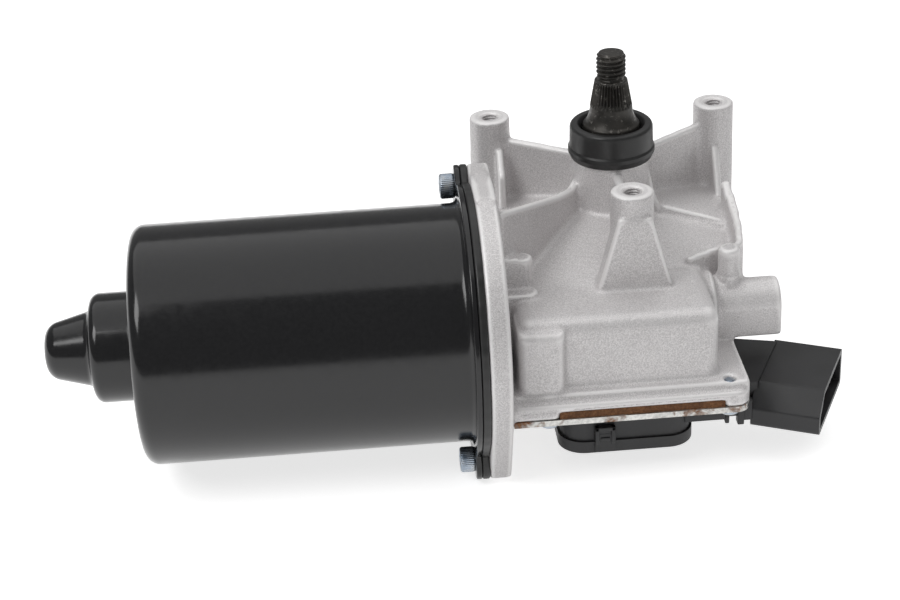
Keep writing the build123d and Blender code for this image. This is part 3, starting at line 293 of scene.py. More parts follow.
def mottled(name, colour, roughness, spread, depth, metallic=0.0):
    """Cloudy finish for the inner pieces; a metal's gloss varies too"""
    material, tree, shader = new_material(name, colour, roughness, metallic)
    cloud = add_noise(tree, scale=300.0)
    dark = tuple(channel * (1 - spread) for channel in colour)
    light = tuple(min(1.0, channel * (1 + spread)) for channel in colour)
    tone = add_ramp(tree, cloud, [(0.3, dark), (0.7, light)])
    tree.links.new(tone, shader.inputs["Base Color"])
    if metallic:
        gloss = add_range(tree, cloud, low=roughness - 0.06, high=roughness + 0.08)
        tree.links.new(gloss, shader.inputs["Roughness"])
    add_bump(tree, shader, cloud, depth=depth, strength=0.4)
    return material


def plain_metal(name, colour, roughness):
    """Drawn or ground metal"""
    return mottled(name, colour, roughness, spread=0.12, depth=0.00003, metallic=1.0)


def plain_solid(name, colour, roughness, spread=0.15):
    """Anything inside that is not metal"""
    return mottled(name, colour, roughness, spread, depth=0.00004)


MATERIALS = {
    "cast_aluminium": cast_aluminium(),
    "black_paint": black_paint(),
    "black_rubber": rubber(),
    "zinc_steel": zinc(),
    "ferrite": plain_solid("ferrite", (0.06, 0.06, 0.065), 0.6),
    "brown_laminate": plain_solid("brown_laminate", (0.24, 0.13, 0.06), 0.5),
    "brass": plain_metal("brass", (0.78, 0.57, 0.25), 0.3),
    "carbon": plain_solid("carbon", (0.035, 0.035, 0.036), 0.55),
    "copper": plain_metal("copper", (0.72, 0.34, 0.18), 0.32),
    "bronze": plain_metal("bronze", (0.52, 0.36, 0.19), 0.5),
    "white_plastic": plain_solid("white_plastic", (0.80, 0.78, 0.71), 0.4, spread=0.05),
    "brown_gasket": fibre_gasket(),
    "zinc_sheet": rusted_zinc_sheet(),
    "black_plastic": black_plastic(),
    "bearing_steel": plain_metal("bearing_steel", (0.55, 0.55, 0.55), 0.22),
    "lamination_steel": plain_metal("lamination_steel", (0.32, 0.32, 0.33), 0.45),
    "phosphated_steel": phosphated_steel(),
}


def dress_nodes():
    """Give every CAD node the material of its slot"""
    for row in frame["record"]["subparts"]:
        node = frame["nodes"][row["node"]]
        node.data.materials.clear()
        node.data.materials.append(MATERIALS[row["material_slot"]])


# ---- mesh building ----
ARC_STEPS = 6
BEVEL_STEPS = 3


def in_metres(rows):
    """Rows of millimetres, in metres"""
    return [tuple(value * MM for value in row) for row in rows]


def around(sides):
    """Angles of a full turn in even steps"""
    return np.arange(sides) * 2 * pi / sides


def ridges(turns):
    """Even ridges along a count of turns: 1 at each whole turn, 0 half-way between"""
    return np.abs(2 * (turns % 1) - 1)


def ring_points(radii, angles):
    """Points of a plan outline from radii and angles"""
    return np.stack([radii * np.cos(angles), radii * np.sin(angles)], 1)


def mesh_from(name, points, faces):
    """Smooth mesh from an array of points and an array of faces that all have as many corners"""
    points = np.asarray(points, np.float32)
    faces = np.asarray(faces, np.int32)
    starts = np.arange(0, faces.size, faces.shape[1], dtype=np.int32)
    mesh = bpy.data.meshes.new(name)
    mesh.vertices.add(len(points))
    mesh.vertices.foreach_set("co", points.ravel())
    mesh.loops.add(faces.size)
    mesh.loops.foreach_set("vertex_index", faces.ravel())
    mesh.polygons.add(len(faces))
    mesh.polygons.foreach_set("loop_start", starts)
    mesh.update(calc_edges=True)
    mesh.shade_smooth()
    return mesh


def add_piece(mesh, body, slot, *nodes):
    """Hang a finished mesh on a CAD body, in the finish of a slot, in place of CAD nodes"""
    piece = bpy.data.objects.new(mesh.name, mesh)
    bpy.context.collection.objects.link(piece)
    mesh.materials.append(MATERIALS[slot])
    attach(piece, body)
    if nodes:
        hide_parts(*nodes)


def rounded_path(corners, steps=ARC_STEPS):
    """Open path through (x, y, round) corners, each turned by an arc"""
    path = []
    places = [np.array(corner[:2], float) for corner in corners]
    last = len(corners) - 1
    for number, here in enumerate(places):
        bend = corners[number][2]
        if bend == 0 or number in (0, last):
            path.append(here)
            continue
        back = places[number - 1] - here
        ahead = places[number + 1] - here
        back /= np.hypot(*back)
        ahead /= np.hypot(*ahead)
        half = np.arccos(np.clip(back @ ahead, -1, 1)) / 2
        middle = here + (back + ahead) / np.hypot(*(back + ahead)) * bend / sin(half)
        first = here + back * bend / tan(half) - middle
        final = here + ahead * bend / tan(half) - middle
        sweep = pi - 2 * half
        for step in range(steps + 1):
            share = step / steps
            arm = first * sin((1 - share) * sweep) + final * sin(share * sweep)
            path.append(middle + arm / sin(sweep))
    return np.array(path)


def loft_mesh(name, loops, ring=False):
    """Skin over loops of equally many points: a ring joins last to first, else the ends close"""
    count = len(loops[0])
    here = np.arange(count)
    after = np.roll(here, -1)
    pairs = [(number, number + 1) for number in range(len(loops) - 1)]
    if ring:
        pairs.append((len(loops) - 1, 0))
    faces = []
    for low, high in pairs:
        low, high = low * count, high * count
        faces.append(np.stack([low + here, low + after, high + after, high + here], 1))
    mesh = mesh_from(name, np.concatenate(loops), np.concatenate(faces))
    shape = bmesh.new()
    shape.from_mesh(mesh)
    if not ring:
        shape.verts.ensure_lookup_table()
        last = (len(loops) - 1) * count
        shape.faces.new([shape.verts[i] for i in reversed(range(count))])
        shape.faces.new([shape.verts[last + i] for i in range(count)])
    bmesh.ops.recalc_face_normals(shape, faces=shape.faces[:])
    shape.to_mesh(mesh)
    shape.free()
    return mesh


def turned_mesh(name, rows, sides, axis="Z", centre=(0, 0), ring=False):
    """Turned mesh. Each row is (distance along the axis, ring of radii or one radius)"""
    angles = around(sides)
    loops = []
    for along, radii in rows:
        plan = ring_points(np.broadcast_to(radii, sides), angles)
        loop = np.column_stack([plan, np.full(sides, along)])
        if axis == "X":
            loop = loop[:, [2, 0, 1]] + np.array([0, *centre])
        else:
            loop = loop + np.array([*centre, 0])
        loops.append(loop)
    return loft_mesh(name, loops, ring)


def sharpen(mesh, angle):
    """Keep edges sharper than an angle in degrees crisp under smooth shading"""
    shape = bmesh.new()
    shape.from_mesh(mesh)
    limit = radians(angle)
    for edge in shape.edges:
        edge.smooth = len(edge.link_faces) == 2 and edge.calc_face_angle(0) < limit
    shape.to_mesh(mesh)
    shape.free()


def inset(outline, distance):
    """Outline moved inwards, for outlines that turn left"""
    edge = np.roll(outline, -1, 0) - outline
    normal = np.stack([-edge[:, 1], edge[:, 0]], 1) / np.hypot(*edge.T)[:, None]
    mean = normal + np.roll(normal, 1, 0)
    return outline + distance * mean / (mean * normal).sum(1)[:, None]


def across_motor(plan, along):
    """Points of an outline that stands across the motor axis"""
    return np.stack([np.full(len(plan), along), plan[:, 0] + MOTOR_Y, plan[:, 1] + MOTOR_Z], 1)


def plate_loops(outline, low, high, bevel):
    """Loops of a plate with rounded edges that stands across the motor axis"""
    turns = [pi / 2 * step / BEVEL_STEPS for step in range(BEVEL_STEPS + 1)]
    loops = [
        across_motor(inset(outline, bevel * (1 - sin(turn))), low + bevel * (1 - cos(turn)))
        for turn in turns
    ]
    return loops + [
        across_motor(inset(outline, bevel * (1 - cos(turn))), high - bevel * (1 - sin(turn)))
        for turn in turns
    ]


def add_ring_plate(name, outline, bore_r, low, high, bevel, slot, *nodes):
    """Plate with a round bore across the motor axis, hung on the housing"""
    bore = ring_points(bore_r, around(FLANGE_SIDES))
    loops = plate_loops(outline, low, high, bevel)
    loops += [across_motor(bore, high), across_motor(bore, low)]
    add_piece(loft_mesh(name, loops, ring=True), "housing", slot, *nodes)


# ---- mounting bosses and their tapped holes ----
BOSS_CIRCLE_R = 46 * MM
BOSS_ANGLES = (30, 150, 270)
BOSS_PLACES = [
    (BOSS_CIRCLE_R * cos(radians(angle)), BOSS_CIRCLE_R * sin(radians(angle)))
    for angle in BOSS_ANGLES
]
HOLE_DEPTHS = (18 * MM, 17 * MM, 16 * MM)
HOLE_R = 2.5 * MM
HOLE_MAJOR_R = 3.0 * MM
HOLE_CUT_R = 3.1 * MM
HOLE_MOUTH_R = 3.7 * MM
HOLE_PITCH = 1.0 * MM
HOLE_THREAD_LOW = 0.5 * MM
HOLE_SIDES = 48
HOLE_STEPS_PER_TURN = 10


def boss_threads():
    """Tapped threads inside the three boss holes, each a sleeve that closes the hole's foot"""
    angles = around(HOLE_SIDES)
    for number, (place, depth) in enumerate(zip(BOSS_PLACES, HOLE_DEPTHS)):
        steps = int(depth / HOLE_PITCH * HOLE_STEPS_PER_TURN)
        run = depth - 2 * HOLE_THREAD_LOW
        rows = [(-depth, HOLE_CUT_R), (-HOLE_THREAD_LOW, HOLE_CUT_R)]
        for step in range(steps):
            z = -HOLE_THREAD_LOW - run * step / (steps - 1)
            crest = ridges(z / HOLE_PITCH + angles / (2 * pi))
            rows.append((z, HOLE_R + (HOLE_MAJOR_R - HOLE_R) * crest))
        rows.append((0.4 * MM - depth, 0.2 * MM))
        thread = turned_mesh(f"boss_thread_{number + 1}", rows, HOLE_SIDES, centre=place)
        add_piece(thread, "housing", "cast_aluminium")


# ---- cast housing: the CAD solid with the fillets and rounded edges of a casting ----
CAST_CELL = 0.5 * MM
CAST_ROUND = 0.42 * MM
CAST_FILLET = 1.30 * MM
CAST_SAMPLES = 3
CAST_MARGIN = 6
CAST_RELAX = 5
BLUR_REACH = 2.6
FLAT_TRIANGLE = 1e-14
# moves the sample lines off the grid, so that none runs through a corner of a triangle
SAMPLE_SHIFT = np.array([1.7e-7, 2.3e-7])
# small webs and pads of the casting: start and end as (x, y, top), half width, floor, in mm
CAST_WALLS = [
    ((-44, -46.2, -20), (-36.5, -46.2, -21), 3.6, -42),
    ((-44, -51.5, -31), (-35.5, -51.5, -31), 3.6, -42),
    ((39.8, -2, -20), (40.6, -11, -24), 1.6, -58),
    ((40.6, -11, -24), (40.1, -22.2, -26), 1.4, -58),
    ((38.5, -12, -33), (38.0, -28, -35), 2.6, -58),
    ((40.1, -22.2, -26), (38.4, -33.8, -27), 1.2, -58),
    ((38.4, -33.8, -27), (34.5, -39, -27.5), 1.2, -58),
    ((21.2, -35.9, -31), (30.8, -31.9, -30), 1.2, -58),
    ((33.7, -39, -38.5), (33.7, -38.9, -38.5), 4.8, -58),
    ((33.7, -39, -36), (33.7, -38.9, -36), 4.1, -58),
]


def mesh_arrays(mesh):
    """Points and triangles of a mesh"""
    points = np.empty(len(mesh.vertices) * 3)
    mesh.vertices.foreach_get("co", points)
    mesh.calc_loop_triangles()
    triangles = np.empty(len(mesh.loop_triangles) * 3, np.int32)
    mesh.loop_triangles.foreach_get("vertices", triangles)
    return points.reshape(-1, 3), triangles.reshape(-1, 3)


def filled_cells(points, triangles, low, shape):
    """How full each cell of a grid is of a closed mesh, from where upright lines cross it"""
    cell = CAST_CELL
    fine = cell / CAST_SAMPLES
    columns, levels = shape[1], shape[2] + 1
    start = low[:2] + fine / 2 + SAMPLE_SHIFT
    index, weight = [], []
    for a, b, c in points[triangles]:
        facing = (b[0] - a[0]) * (c[1] - a[1]) - (b[1] - a[1]) * (c[0] - a[0])
        if abs(facing) < FLAT_TRIANGLE:
            continue
        corner_low = np.minimum(np.minimum(a, b), c)[:2]
        corner_high = np.maximum(np.maximum(a, b), c)[:2]
        first = np.ceil((corner_low - start) / fine).astype(int)
        final = np.floor((corner_high - start) / fine).astype(int)
        if (final < first).any():
            continue
        lines = [np.arange(first[axis], final[axis] + 1) for axis in (0, 1)]
        i, j = np.meshgrid(*lines, indexing="ij")
        x = start[0] + i * fine - a[0]
        y = start[1] + j * fine - a[1]
        u = (x * (c[1] - a[1]) - y * (c[0] - a[0])) / facing
        v = (y * (b[0] - a[0]) - x * (b[1] - a[1])) / facing
        inside = (u >= 0) & (v >= 0) & (u + v < 1)
        level = ((a[2] + u * (b[2] - a[2]) + v * (c[2] - a[2]))[inside] - low[2]) / cell
        k = np.floor(level).astype(int)
        share = 1 - (level - k)
        sign = (-1 if facing > 0 else 1) / CAST_SAMPLES ** 2
        column = i[inside] // CAST_SAMPLES * columns + j[inside] // CAST_SAMPLES
        flat = column * levels + k
        index += [flat, flat + 1]
        weight += [sign * share, sign * (1 - share)]
    size = shape[0] * columns * levels
    crossings = np.bincount(np.concatenate(index), np.concatenate(weight), size)
    filled = np.cumsum(crossings.reshape(shape[0], columns, levels), axis=2)
    return filled[:, :, :-1].astype(np.float32)


def cast_wall(solid, x, y, z, start, end, half_width, floor):
    """Fill an upright web between two (x, y, top) points into the grid of cells"""
    a, b = np.array(start) * MM, np.array(end) * MM
    reach = half_width * MM
    near_x = (x > min(a[0], b[0]) - reach) & (x < max(a[0], b[0]) + reach)
    near_y = (y > min(a[1], b[1]) - reach) & (y < max(a[1], b[1]) + reach)
    run = b[:2] - a[:2]
    away_x = x[near_x][:, None] - a[0]
    away_y = y[near_y][None, :] - a[1]
    share = np.clip((away_x * run[0] + away_y * run[1]) / (run @ run), 0, 1)
    away = np.hypot(away_x - share * run[0], away_y - share * run[1])
    top = a[2] + share * (b[2] - a[2])
    filled = (away < reach)[:, :, None] & (z < top[:, :, None]) & (z > floor * MM)
    window = np.ix_(near_x, near_y)
    solid[window] = np.maximum(solid[window], filled)


def blurred(field, sigma):
    """Gaussian blur of a 3-D field; sigma in metres"""
    sigma /= CAST_CELL
    reach = int(np.ceil(BLUR_REACH * sigma))
    weights = np.exp(-0.5 * (np.arange(-reach, reach + 1) / sigma) ** 2)
    weights /= weights.sum()
    for axis in range(3):
        padding = [(0, 0)] * 3
        padding[axis] = (reach, reach)
        padded = np.pad(field, padding, mode="edge")
        field = np.zeros_like(field)
        for step, weight in enumerate(weights):
            window = [slice(None)] * 3
            window[axis] = slice(step, step + field.shape[axis])
            field += np.float32(weight) * padded[tuple(window)]
    return field


def drill_bosses(field, x, y, z):
    """Cut the three boss holes, each with a countersunk mouth, into a field"""
    for (boss_x, boss_y), depth in zip(BOSS_PLACES, HOLE_DEPTHS):
        near_x = np.abs(x - boss_x) < 2 * HOLE_MOUTH_R
        near_y = np.abs(y - boss_y) < 2 * HOLE_MOUTH_R
        away = np.hypot((x[near_x] - boss_x)[:, None], (y[near_y] - boss_y)[None, :])
        hole_r = np.clip(HOLE_MOUTH_R + z, HOLE_CUT_R, HOLE_MOUTH_R)
        hole_r = np.where(z > -depth, hole_r, 0)
        outside = 0.5 + (away[:, :, None] - hole_r) / CAST_CELL / 2
        window = np.ix_(near_x, near_y)
        field[window] = np.minimum(field[window], outside.astype(np.float32))


def window_along(axis, start, stop, trim=0):
    """Index that cuts one axis of a 3-D array, and trims the ends of the others"""
    ends = slice(trim, -trim) if trim else slice(None)
    window = [ends] * 3
    window[axis] = slice(start, stop)
    return tuple(window)


def surface_net(field, low):
    """Points and four-sided faces of the surface where a field is one half"""
    inside = field > 0.5
    shape = tuple(n - 1 for n in field.shape)
    total = np.zeros(shape + (3,), np.float32)
    count = np.zeros(shape, np.float32)
    for axis in range(3):
        first, second = window_along(axis, 0, -1), window_along(axis, 1, None)
        crosses = inside[first] != inside[second]
        rise = np.where(crosses, field[second] - field[first], 1)
        share = np.where(crosses, (0.5 - field[first]) / rise, 0)
        others = [other for other in range(3) if other != axis]
        for near, far in np.ndindex(2, 2):
            window = [slice(None)] * 3
            window[others[0]] = slice(near, near + shape[others[0]])
            window[others[1]] = slice(far, far + shape[others[1]])
            hit = crosses[tuple(window)]
            total[..., axis] += share[tuple(window)]
            total[..., others[0]] += hit * np.float32(near)
            total[..., others[1]] += hit * np.float32(far)
            count += hit
    used = count > 0
    number = np.full(shape, -1, np.int64)
    number[used] = np.arange(used.sum())
    points = low + (np.argwhere(used) + 0.5 + total[used] / count[used][:, None]) * CAST_CELL
    faces = []
    for axis in range(3):
        first, second = window_along(axis, 0, -1, 1), window_along(axis, 1, None, 1)
        leaves = inside[first]
        where = np.argwhere(leaves != inside[second])
        u, v = (axis + 1) % 3, (axis + 2) % 3
        at = where.copy()
        at[:, [u, v]] += 1
        ring = []
        for du, dv in ((0, 0), (-1, 0), (-1, -1), (0, -1)):
            corner = at.copy()
            corner[:, u] += du
            corner[:, v] += dv
            ring.append(number[tuple(corner.T)])
        ring = np.stack(ring, 1)
        entering = ~leaves[tuple(where.T)]
        ring[entering] = ring[entering][:, ::-1]
        faces.append(ring)
    return points, np.concatenate(faces)


def field_at(field, points, low):
    """Value of a field at points, from its eight nearest cells"""
    place = (points - low) / CAST_CELL - 0.5
    base = np.floor(place).astype(int)
    part = place - base
    value = np.zeros(len(points))
    for corner in np.ndindex(2, 2, 2):
        share = np.prod(np.where(corner, part, 1 - part), axis=1)
        value += share * field[tuple((base + corner).T)]
    return value


def relaxed(points, faces):
    """Points drawn halfway to the mean of their neighbours, a few times over"""
    first = faces.ravel()
    second = np.roll(faces, -1, 1).ravel()
    ends = np.concatenate([first, second])
    others = np.concatenate([second, first])
    count = np.bincount(ends, minlength=len(points))
    for _ in range(CAST_RELAX):
        sums = [np.bincount(ends, points[others, axis], len(points)) for axis in range(3)]
        points = (points + np.stack(sums, 1) / count[:, None]) / 2
    return points


def cast_housing():
    """Gear housing with cast fillets; its mesh carries how sharply it bends, for the painted edge
    highlight of the finish
    """
    points, triangles = mesh_arrays(frame["nodes"]["gear_housing"].data)
    low = points.min(0) - CAST_MARGIN * CAST_CELL
    reach = points.max(0) + CAST_MARGIN * CAST_CELL - low
    shape = tuple(int(n) for n in np.ceil(reach / CAST_CELL))
    solid = filled_cells(points, triangles, low, shape)
    x, y, z = (low[axis] + (np.arange(shape[axis]) + 0.5) * CAST_CELL for axis in range(3))
    for wall in CAST_WALLS:
        cast_wall(solid, x, y, z, *wall)
    # the bosses run on past their tops before the blur, and a flat cut at z 0 ends them
    top = int((0 - low[2]) / CAST_CELL) - 1
    solid[:, :, top:] = solid[:, :, top - 1:top]
    rounded = blurred(solid, CAST_ROUND)
    softened = blurred(solid, CAST_FILLET)
    below_top = 0.5 - z / CAST_CELL / 2
    field = np.minimum(np.maximum(rounded, softened), below_top.astype(np.float32))
    drill_bosses(field, x, y, z)
    points, faces = surface_net(field, low)
    points = relaxed(points, faces)
    bend = (field_at(rounded, points, low) - field_at(softened, points, low)).astype(np.float32)
    mesh = mesh_from("cast_housing", points, faces)
    mesh.attributes.new("bend", "FLOAT", "POINT").data.foreach_set("value", bend)
    add_piece(mesh, "housing", "cast_aluminium", "gear_housing")


# ---- output shaft; the rows are (height, radius) in mm ----
SHAFT_R = 6.0 * MM
SHAFT_FOOT_R = 5.2 * MM
SHAFT_CHAMFER = 0.8 * MM
CLIP_GROOVE_R = 5.0 * MM
CLIP_GROOVE_T = 1.2 * MM
COLLAR_ROWS = [(1.0, 6.0), (1.0, 9.4), (1.3, 9.7), (4.3, 9.7), (4.6, 9.55), (4.9, 9.2)]
FLARE_Z = (5.2 * MM, 11.0 * MM)
FLARE_R = 7.25
FLARE_SPREAD = 1.65
FLARE_POWER = 2.2
KNURL_Z = (11.2 * MM, 20.2 * MM)
KNURL_FOOT_R = 7.2
KNURL_TAPER = 1.6
KNURL_TEETH = 36
KNURL_DEPTH = 0.75 * MM
NECK_ROWS = [(20.5, 5.3), (20.7, 4.45), (21.1, 4.3)]
THREAD_Z = (21.2 * MM, 29.9 * MM)
THREAD_R = 5.0 * MM
THREAD_DEPTH = 0.85 * MM
THREAD_PITCH = 1.5 * MM
THREAD_TIP_R = 3.9 * MM
SHAFT_SIDES = KNURL_TEETH * 8
FLARE_STEPS, KNURL_STEPS, THREAD_STEPS = 14, 40, 96
SHAFT_CRISP = 50


def rows_between(ends, steps, shape):
    """Rows at even steps between two heights; shape turns the share of the way into radii"""
    start, end = ends
    return [(start + (end - start) * i / steps, shape(i / steps)) for i in range(steps + 1)]


def output_shaft():
    """Shaft with flared collar, serrated taper and rolled thread"""
    angles = around(SHAFT_SIDES)
    tooth = ridges(angles * KNURL_TEETH / (2 * pi))
    groove = np.clip(1.25 * (1 - tooth) - 0.1, 0, 1)

    def flare(share):
        return (FLARE_R + FLARE_SPREAD * (1 - share) ** FLARE_POWER) * MM

    def knurl(share):
        fade = min(1, 5 * share) * min(1, 8 * (1 - share))
        return (KNURL_FOOT_R - KNURL_TAPER * share) * MM - KNURL_DEPTH * fade * groove

    def thread(share):
        z = THREAD_Z[0] + share * (THREAD_Z[1] - THREAD_Z[0])
        crest = np.clip(1.3 * ridges(z / THREAD_PITCH - angles / (2 * pi)) - 0.12, 0, 1)
        fade = min(1, 0.3 + 6 * share) * min(1, 0.15 + 7 * (1 - share))
        return THREAD_R - THREAD_DEPTH + THREAD_DEPTH * crest * fade

    foot, groove_low = SHAFT_LOW[2], CLIP_Z - CLIP_GROOVE_T
    rows = [
        (foot, SHAFT_FOOT_R), (foot + SHAFT_CHAMFER, SHAFT_R), (groove_low, SHAFT_R),
        (groove_low, CLIP_GROOVE_R), (CLIP_Z, CLIP_GROOVE_R), (CLIP_Z, SHAFT_R),
    ]
    rows += in_metres(COLLAR_ROWS) + rows_between(FLARE_Z, FLARE_STEPS, flare)
    rows += rows_between(KNURL_Z, KNURL_STEPS, knurl) + in_metres(NECK_ROWS)
    rows += rows_between(THREAD_Z, THREAD_STEPS, thread) + [(SHAFT_HIGH[2], THREAD_TIP_R)]
    mesh = turned_mesh("drive_shaft", rows, SHAFT_SIDES)
    sharpen(mesh, SHAFT_CRISP)
    add_piece(mesh, "output", "phosphated_steel", "output_shaft")


# ---- motor can and its flange ----
CAN_R = 40.0 * MM
CAN_WALL = 2.3 * MM
RIM_X = CAN_HIGH[0]
RIM_T = 2.0 * MM
RIM_BEYOND = 1.5 * MM
RIM_BEVEL = 0.6 * MM
# the can's turn into the rim: (distance before the rim, radius beyond the can's) in mm
RIM_TURN = [(4.6, 0), (3.4, 0.15), (2.6, 0.6)]
CAN_END_X = RIM_X - 110.3 * MM
CAN_FRONT_X = RIM_X - 14 * MM
STEP_X = CAN_END_X - 15.3 * MM
NOSE_X = CAN_LOW[0]
AXIS_R = 0.3 * MM
NOSE_R = 8.6 * MM
NOSE_FOOT_R = 12.8 * MM
STEP_R = 18.3 * MM
# roundings from the nose to the can's end corner, outside and inside
CAN_ROUNDS = (5.4 * MM, 2.6 * MM, 3.2 * MM, 2.2 * MM, 4.5 * MM)
CAN_INNER_ROUNDS = (3.0 * MM, 1.0 * MM, 1.0 * MM, 1.0 * MM, 2.2 * MM)
CAN_ARC_STEPS = 8
CAN_SIDES = 192
CAN_CRISP = 60
BOLT_CIRCLE_R = 46.0 * MM
BOLT_ANGLE = radians(57.7)
LUG_R = 7.0 * MM
LUG_TIP_R = BOLT_CIRCLE_R + LUG_R - 0.02 * MM
LUG_BLEND = 0.9 * MM
RIM_RING_R = 46.1 * MM
RIM_BORE_R = CAN_R + 0.2 * MM
GASKET_RING_R = 46.5 * MM
GASKET_T = 2.6 * MM
GASKET_BEVEL = 0.7 * MM
GASKET_WAVE = 0.12 * MM
FLANGE_SIDES = 360


def can_path(gap, rounds):
    """Half section of the can, from the nose towards the rim, drawn in by a gap"""
    return rounded_path([
        (NOSE_X + gap, AXIS_R, 0), (NOSE_X + gap, NOSE_R - gap, rounds[0]),
        (STEP_X + gap, NOSE_FOOT_R - gap, rounds[1]), (STEP_X + gap, STEP_R - gap, rounds[2]),
        (CAN_END_X + gap, STEP_R - gap, rounds[3]), (CAN_END_X + gap, CAN_R - gap, rounds[4]),
        (CAN_FRONT_X, CAN_R - gap, 0),
    ], CAN_ARC_STEPS)


def flange_outline(ring_r, wave=0.0):
    """Round outline that swells into two bolt lugs, and can wave a little"""
    angles = around(FLANGE_SIDES)
    off = np.abs(np.mod(angles - BOLT_ANGLE + pi / 2, pi) - pi / 2)
    side = BOLT_CIRCLE_R * np.sin(off)
    lug = BOLT_CIRCLE_R * np.cos(off) + np.sqrt(np.clip(LUG_R ** 2 - side ** 2, 0, None))
    lug -= 2 * np.clip(side - LUG_R, 0, None)
    radii = ring_r + LUG_BLEND * np.logaddexp(0, (lug - ring_r) / LUG_BLEND)
    radii += wave * (np.sin(23 * angles) + np.sin(37 * angles + 1) + np.sin(61 * angles + 2)) / 3
    return ring_points(np.minimum(radii, LUG_TIP_R), angles)


def motor_can():
    """Deep-drawn can, inside and outside, with its two-lug rim plate"""
    rows = [tuple(place) for place in can_path(0, CAN_ROUNDS)]
    rows += [(RIM_X - back, CAN_R + beyond) for back, beyond in in_metres(RIM_TURN)]
    rows += [(RIM_X - RIM_T, CAN_R + RIM_BEYOND), (RIM_X, CAN_R + RIM_BEYOND)]
    rows += [(RIM_X, CAN_R - CAN_WALL)]
    rows += [tuple(place) for place in can_path(CAN_WALL, CAN_INNER_ROUNDS)[::-1]]
    can = turned_mesh("drawn_can", rows, CAN_SIDES, "X", (MOTOR_Y, MOTOR_Z))
    sharpen(can, CAN_CRISP)
    add_piece(can, "housing", "black_paint", "motor_can")
    add_ring_plate("can_rim_plate", flange_outline(RIM_RING_R), RIM_BORE_R, RIM_X - RIM_T, RIM_X,
                   RIM_BEVEL, "black_paint")


def flange_gasket():
    """Rubber gasket that swells a little past the flange"""
    add_ring_plate("swollen_gasket", flange_outline(GASKET_RING_R, GASKET_WAVE), CAN_R - CAN_WALL,
                   RIM_X, RIM_X + GASKET_T, GASKET_BEVEL, "black_rubber", "flange_gasket")


# ---- socket bolts ----
BOLT_HEAD = 5.0 * MM
BOLT_HEAD_R = 4.25 * MM
BOLT_KNURLS = 40
BOLT_KNURL_DEPTH = 0.16 * MM
BOLT_KEY = 2.0 * MM
BOLT_PITCH = 0.8 * MM
BOLT_CORE_R = 2.1 * MM
BOLT_THREAD_DEPTH = 0.4 * MM
BOLT_THREAD = 9.6 * MM
BOLT_THREAD_STEPS = 96
BOLT_LENGTH = 11.2 * MM
BOLT_TIP_R = 1.7 * MM
BOLT_SIDES = 192
BOLT_CRISP = 35
# rounded edges of the head: (depth below the top, radius), then (height above the foot, radius)
BOLT_TOP_ROWS = [(0, 3.6), (0.12, 3.9), (0.4, 4.1)]
BOLT_FOOT_ROWS = [(0.3, 4.1), (0, 4.0), (0, 2.5)]
BOLT_KNURL_GAP = 0.7 * MM


def bolt_rows():
    """Rows of a socket-head screw that stands on the can's rim"""
    angles = around(BOLT_SIDES)
    key = BOLT_KEY / np.cos(np.mod(angles, pi / 3) - pi / 6)
    ridge = np.clip(ridges(angles * BOLT_KNURLS / (2 * pi)) * 1.6 - 0.3, 0, 1)
    head_r = BOLT_HEAD_R - BOLT_KNURL_DEPTH * ridge
    foot = RIM_X - RIM_T
    top = foot - BOLT_HEAD
    rows = [(top + 2.6 * MM, AXIS_R), (top + 2.3 * MM, key), (top + 0.3 * MM, key)]
    rows += [(top, key + 0.3 * MM)]
    rows += [(top + depth, radius) for depth, radius in in_metres(BOLT_TOP_ROWS)]
    rows += [(top + BOLT_KNURL_GAP, head_r), (foot - BOLT_KNURL_GAP, head_r)]
    rows += [(foot - height, radius) for height, radius in in_metres(BOLT_FOOT_ROWS)]
    for step in range(BOLT_THREAD_STEPS + 1):
        x = foot + BOLT_THREAD * step / BOLT_THREAD_STEPS
        crest = ridges(x / BOLT_PITCH + angles / (2 * pi))
        rows.append((x + BOLT_PITCH, BOLT_CORE_R + BOLT_THREAD_DEPTH * crest))
    rows.append((foot + BOLT_LENGTH, BOLT_TIP_R))
    return rows


def socket_bolts():
    """Two socket-head screws with knurled heads and cut threads"""
    rows = bolt_rows()
    for number, sign in enumerate((1, -1)):
        y = MOTOR_Y + sign * BOLT_CIRCLE_R * cos(BOLT_ANGLE)
        z = MOTOR_Z + sign * BOLT_CIRCLE_R * sin(BOLT_ANGLE)
        bolt = turned_mesh(f"socket_bolt_{number + 1}", rows, BOLT_SIDES, "X", (y, z))
        sharpen(bolt, BOLT_CRISP)
        nodes = ("can_bolts",) if number == 0 else ()
        add_piece(bolt, "housing", "zinc_steel", *nodes)


# ---- rubber cap: corners as (radius, height, round) in mm, from its foot or from its mouth ----
CAP_OUTSIDE = [
    (12.9, 0, 0), (13.9, 0, 0.4), (14.9, 2.2, 0.5), (14.9, 3.6, 0.5), (14.35, 4.3, 0.5),
]
CAP_MOUTH = [
    (14.2, 0, 1.5), (11.6, 0, 0.9), (10.5, -2.0, 0.5), (10.5, -5.5, 0), (11.6, -5.7, 0),
]
CAP_INSIDE = [(11.6, 0.6, 0), (12.9, 0.5, 0)]
CAP_SIDES = 160
CAP_CRISP = 60


def rubber_cap():
    """Moulded cap with a rolled lip at its foot and a dished mouth"""
    foot, mouth = CAP_LOW[2], CAP_HIGH[2]
    corners = []
    for table, base in ((CAP_OUTSIDE, foot), (CAP_MOUTH, mouth), (CAP_INSIDE, foot)):
        corners += [(radius, base + height, bend) for radius, height, bend in in_metres(table)]
    rows = [(height, radius) for radius, height in rounded_path(corners)]
    cap = turned_mesh("moulded_cap", rows, CAP_SIDES, ring=True)
    sharpen(cap, CAP_CRISP)
    add_piece(cap, "housing", "black_rubber", "rubber_cap")


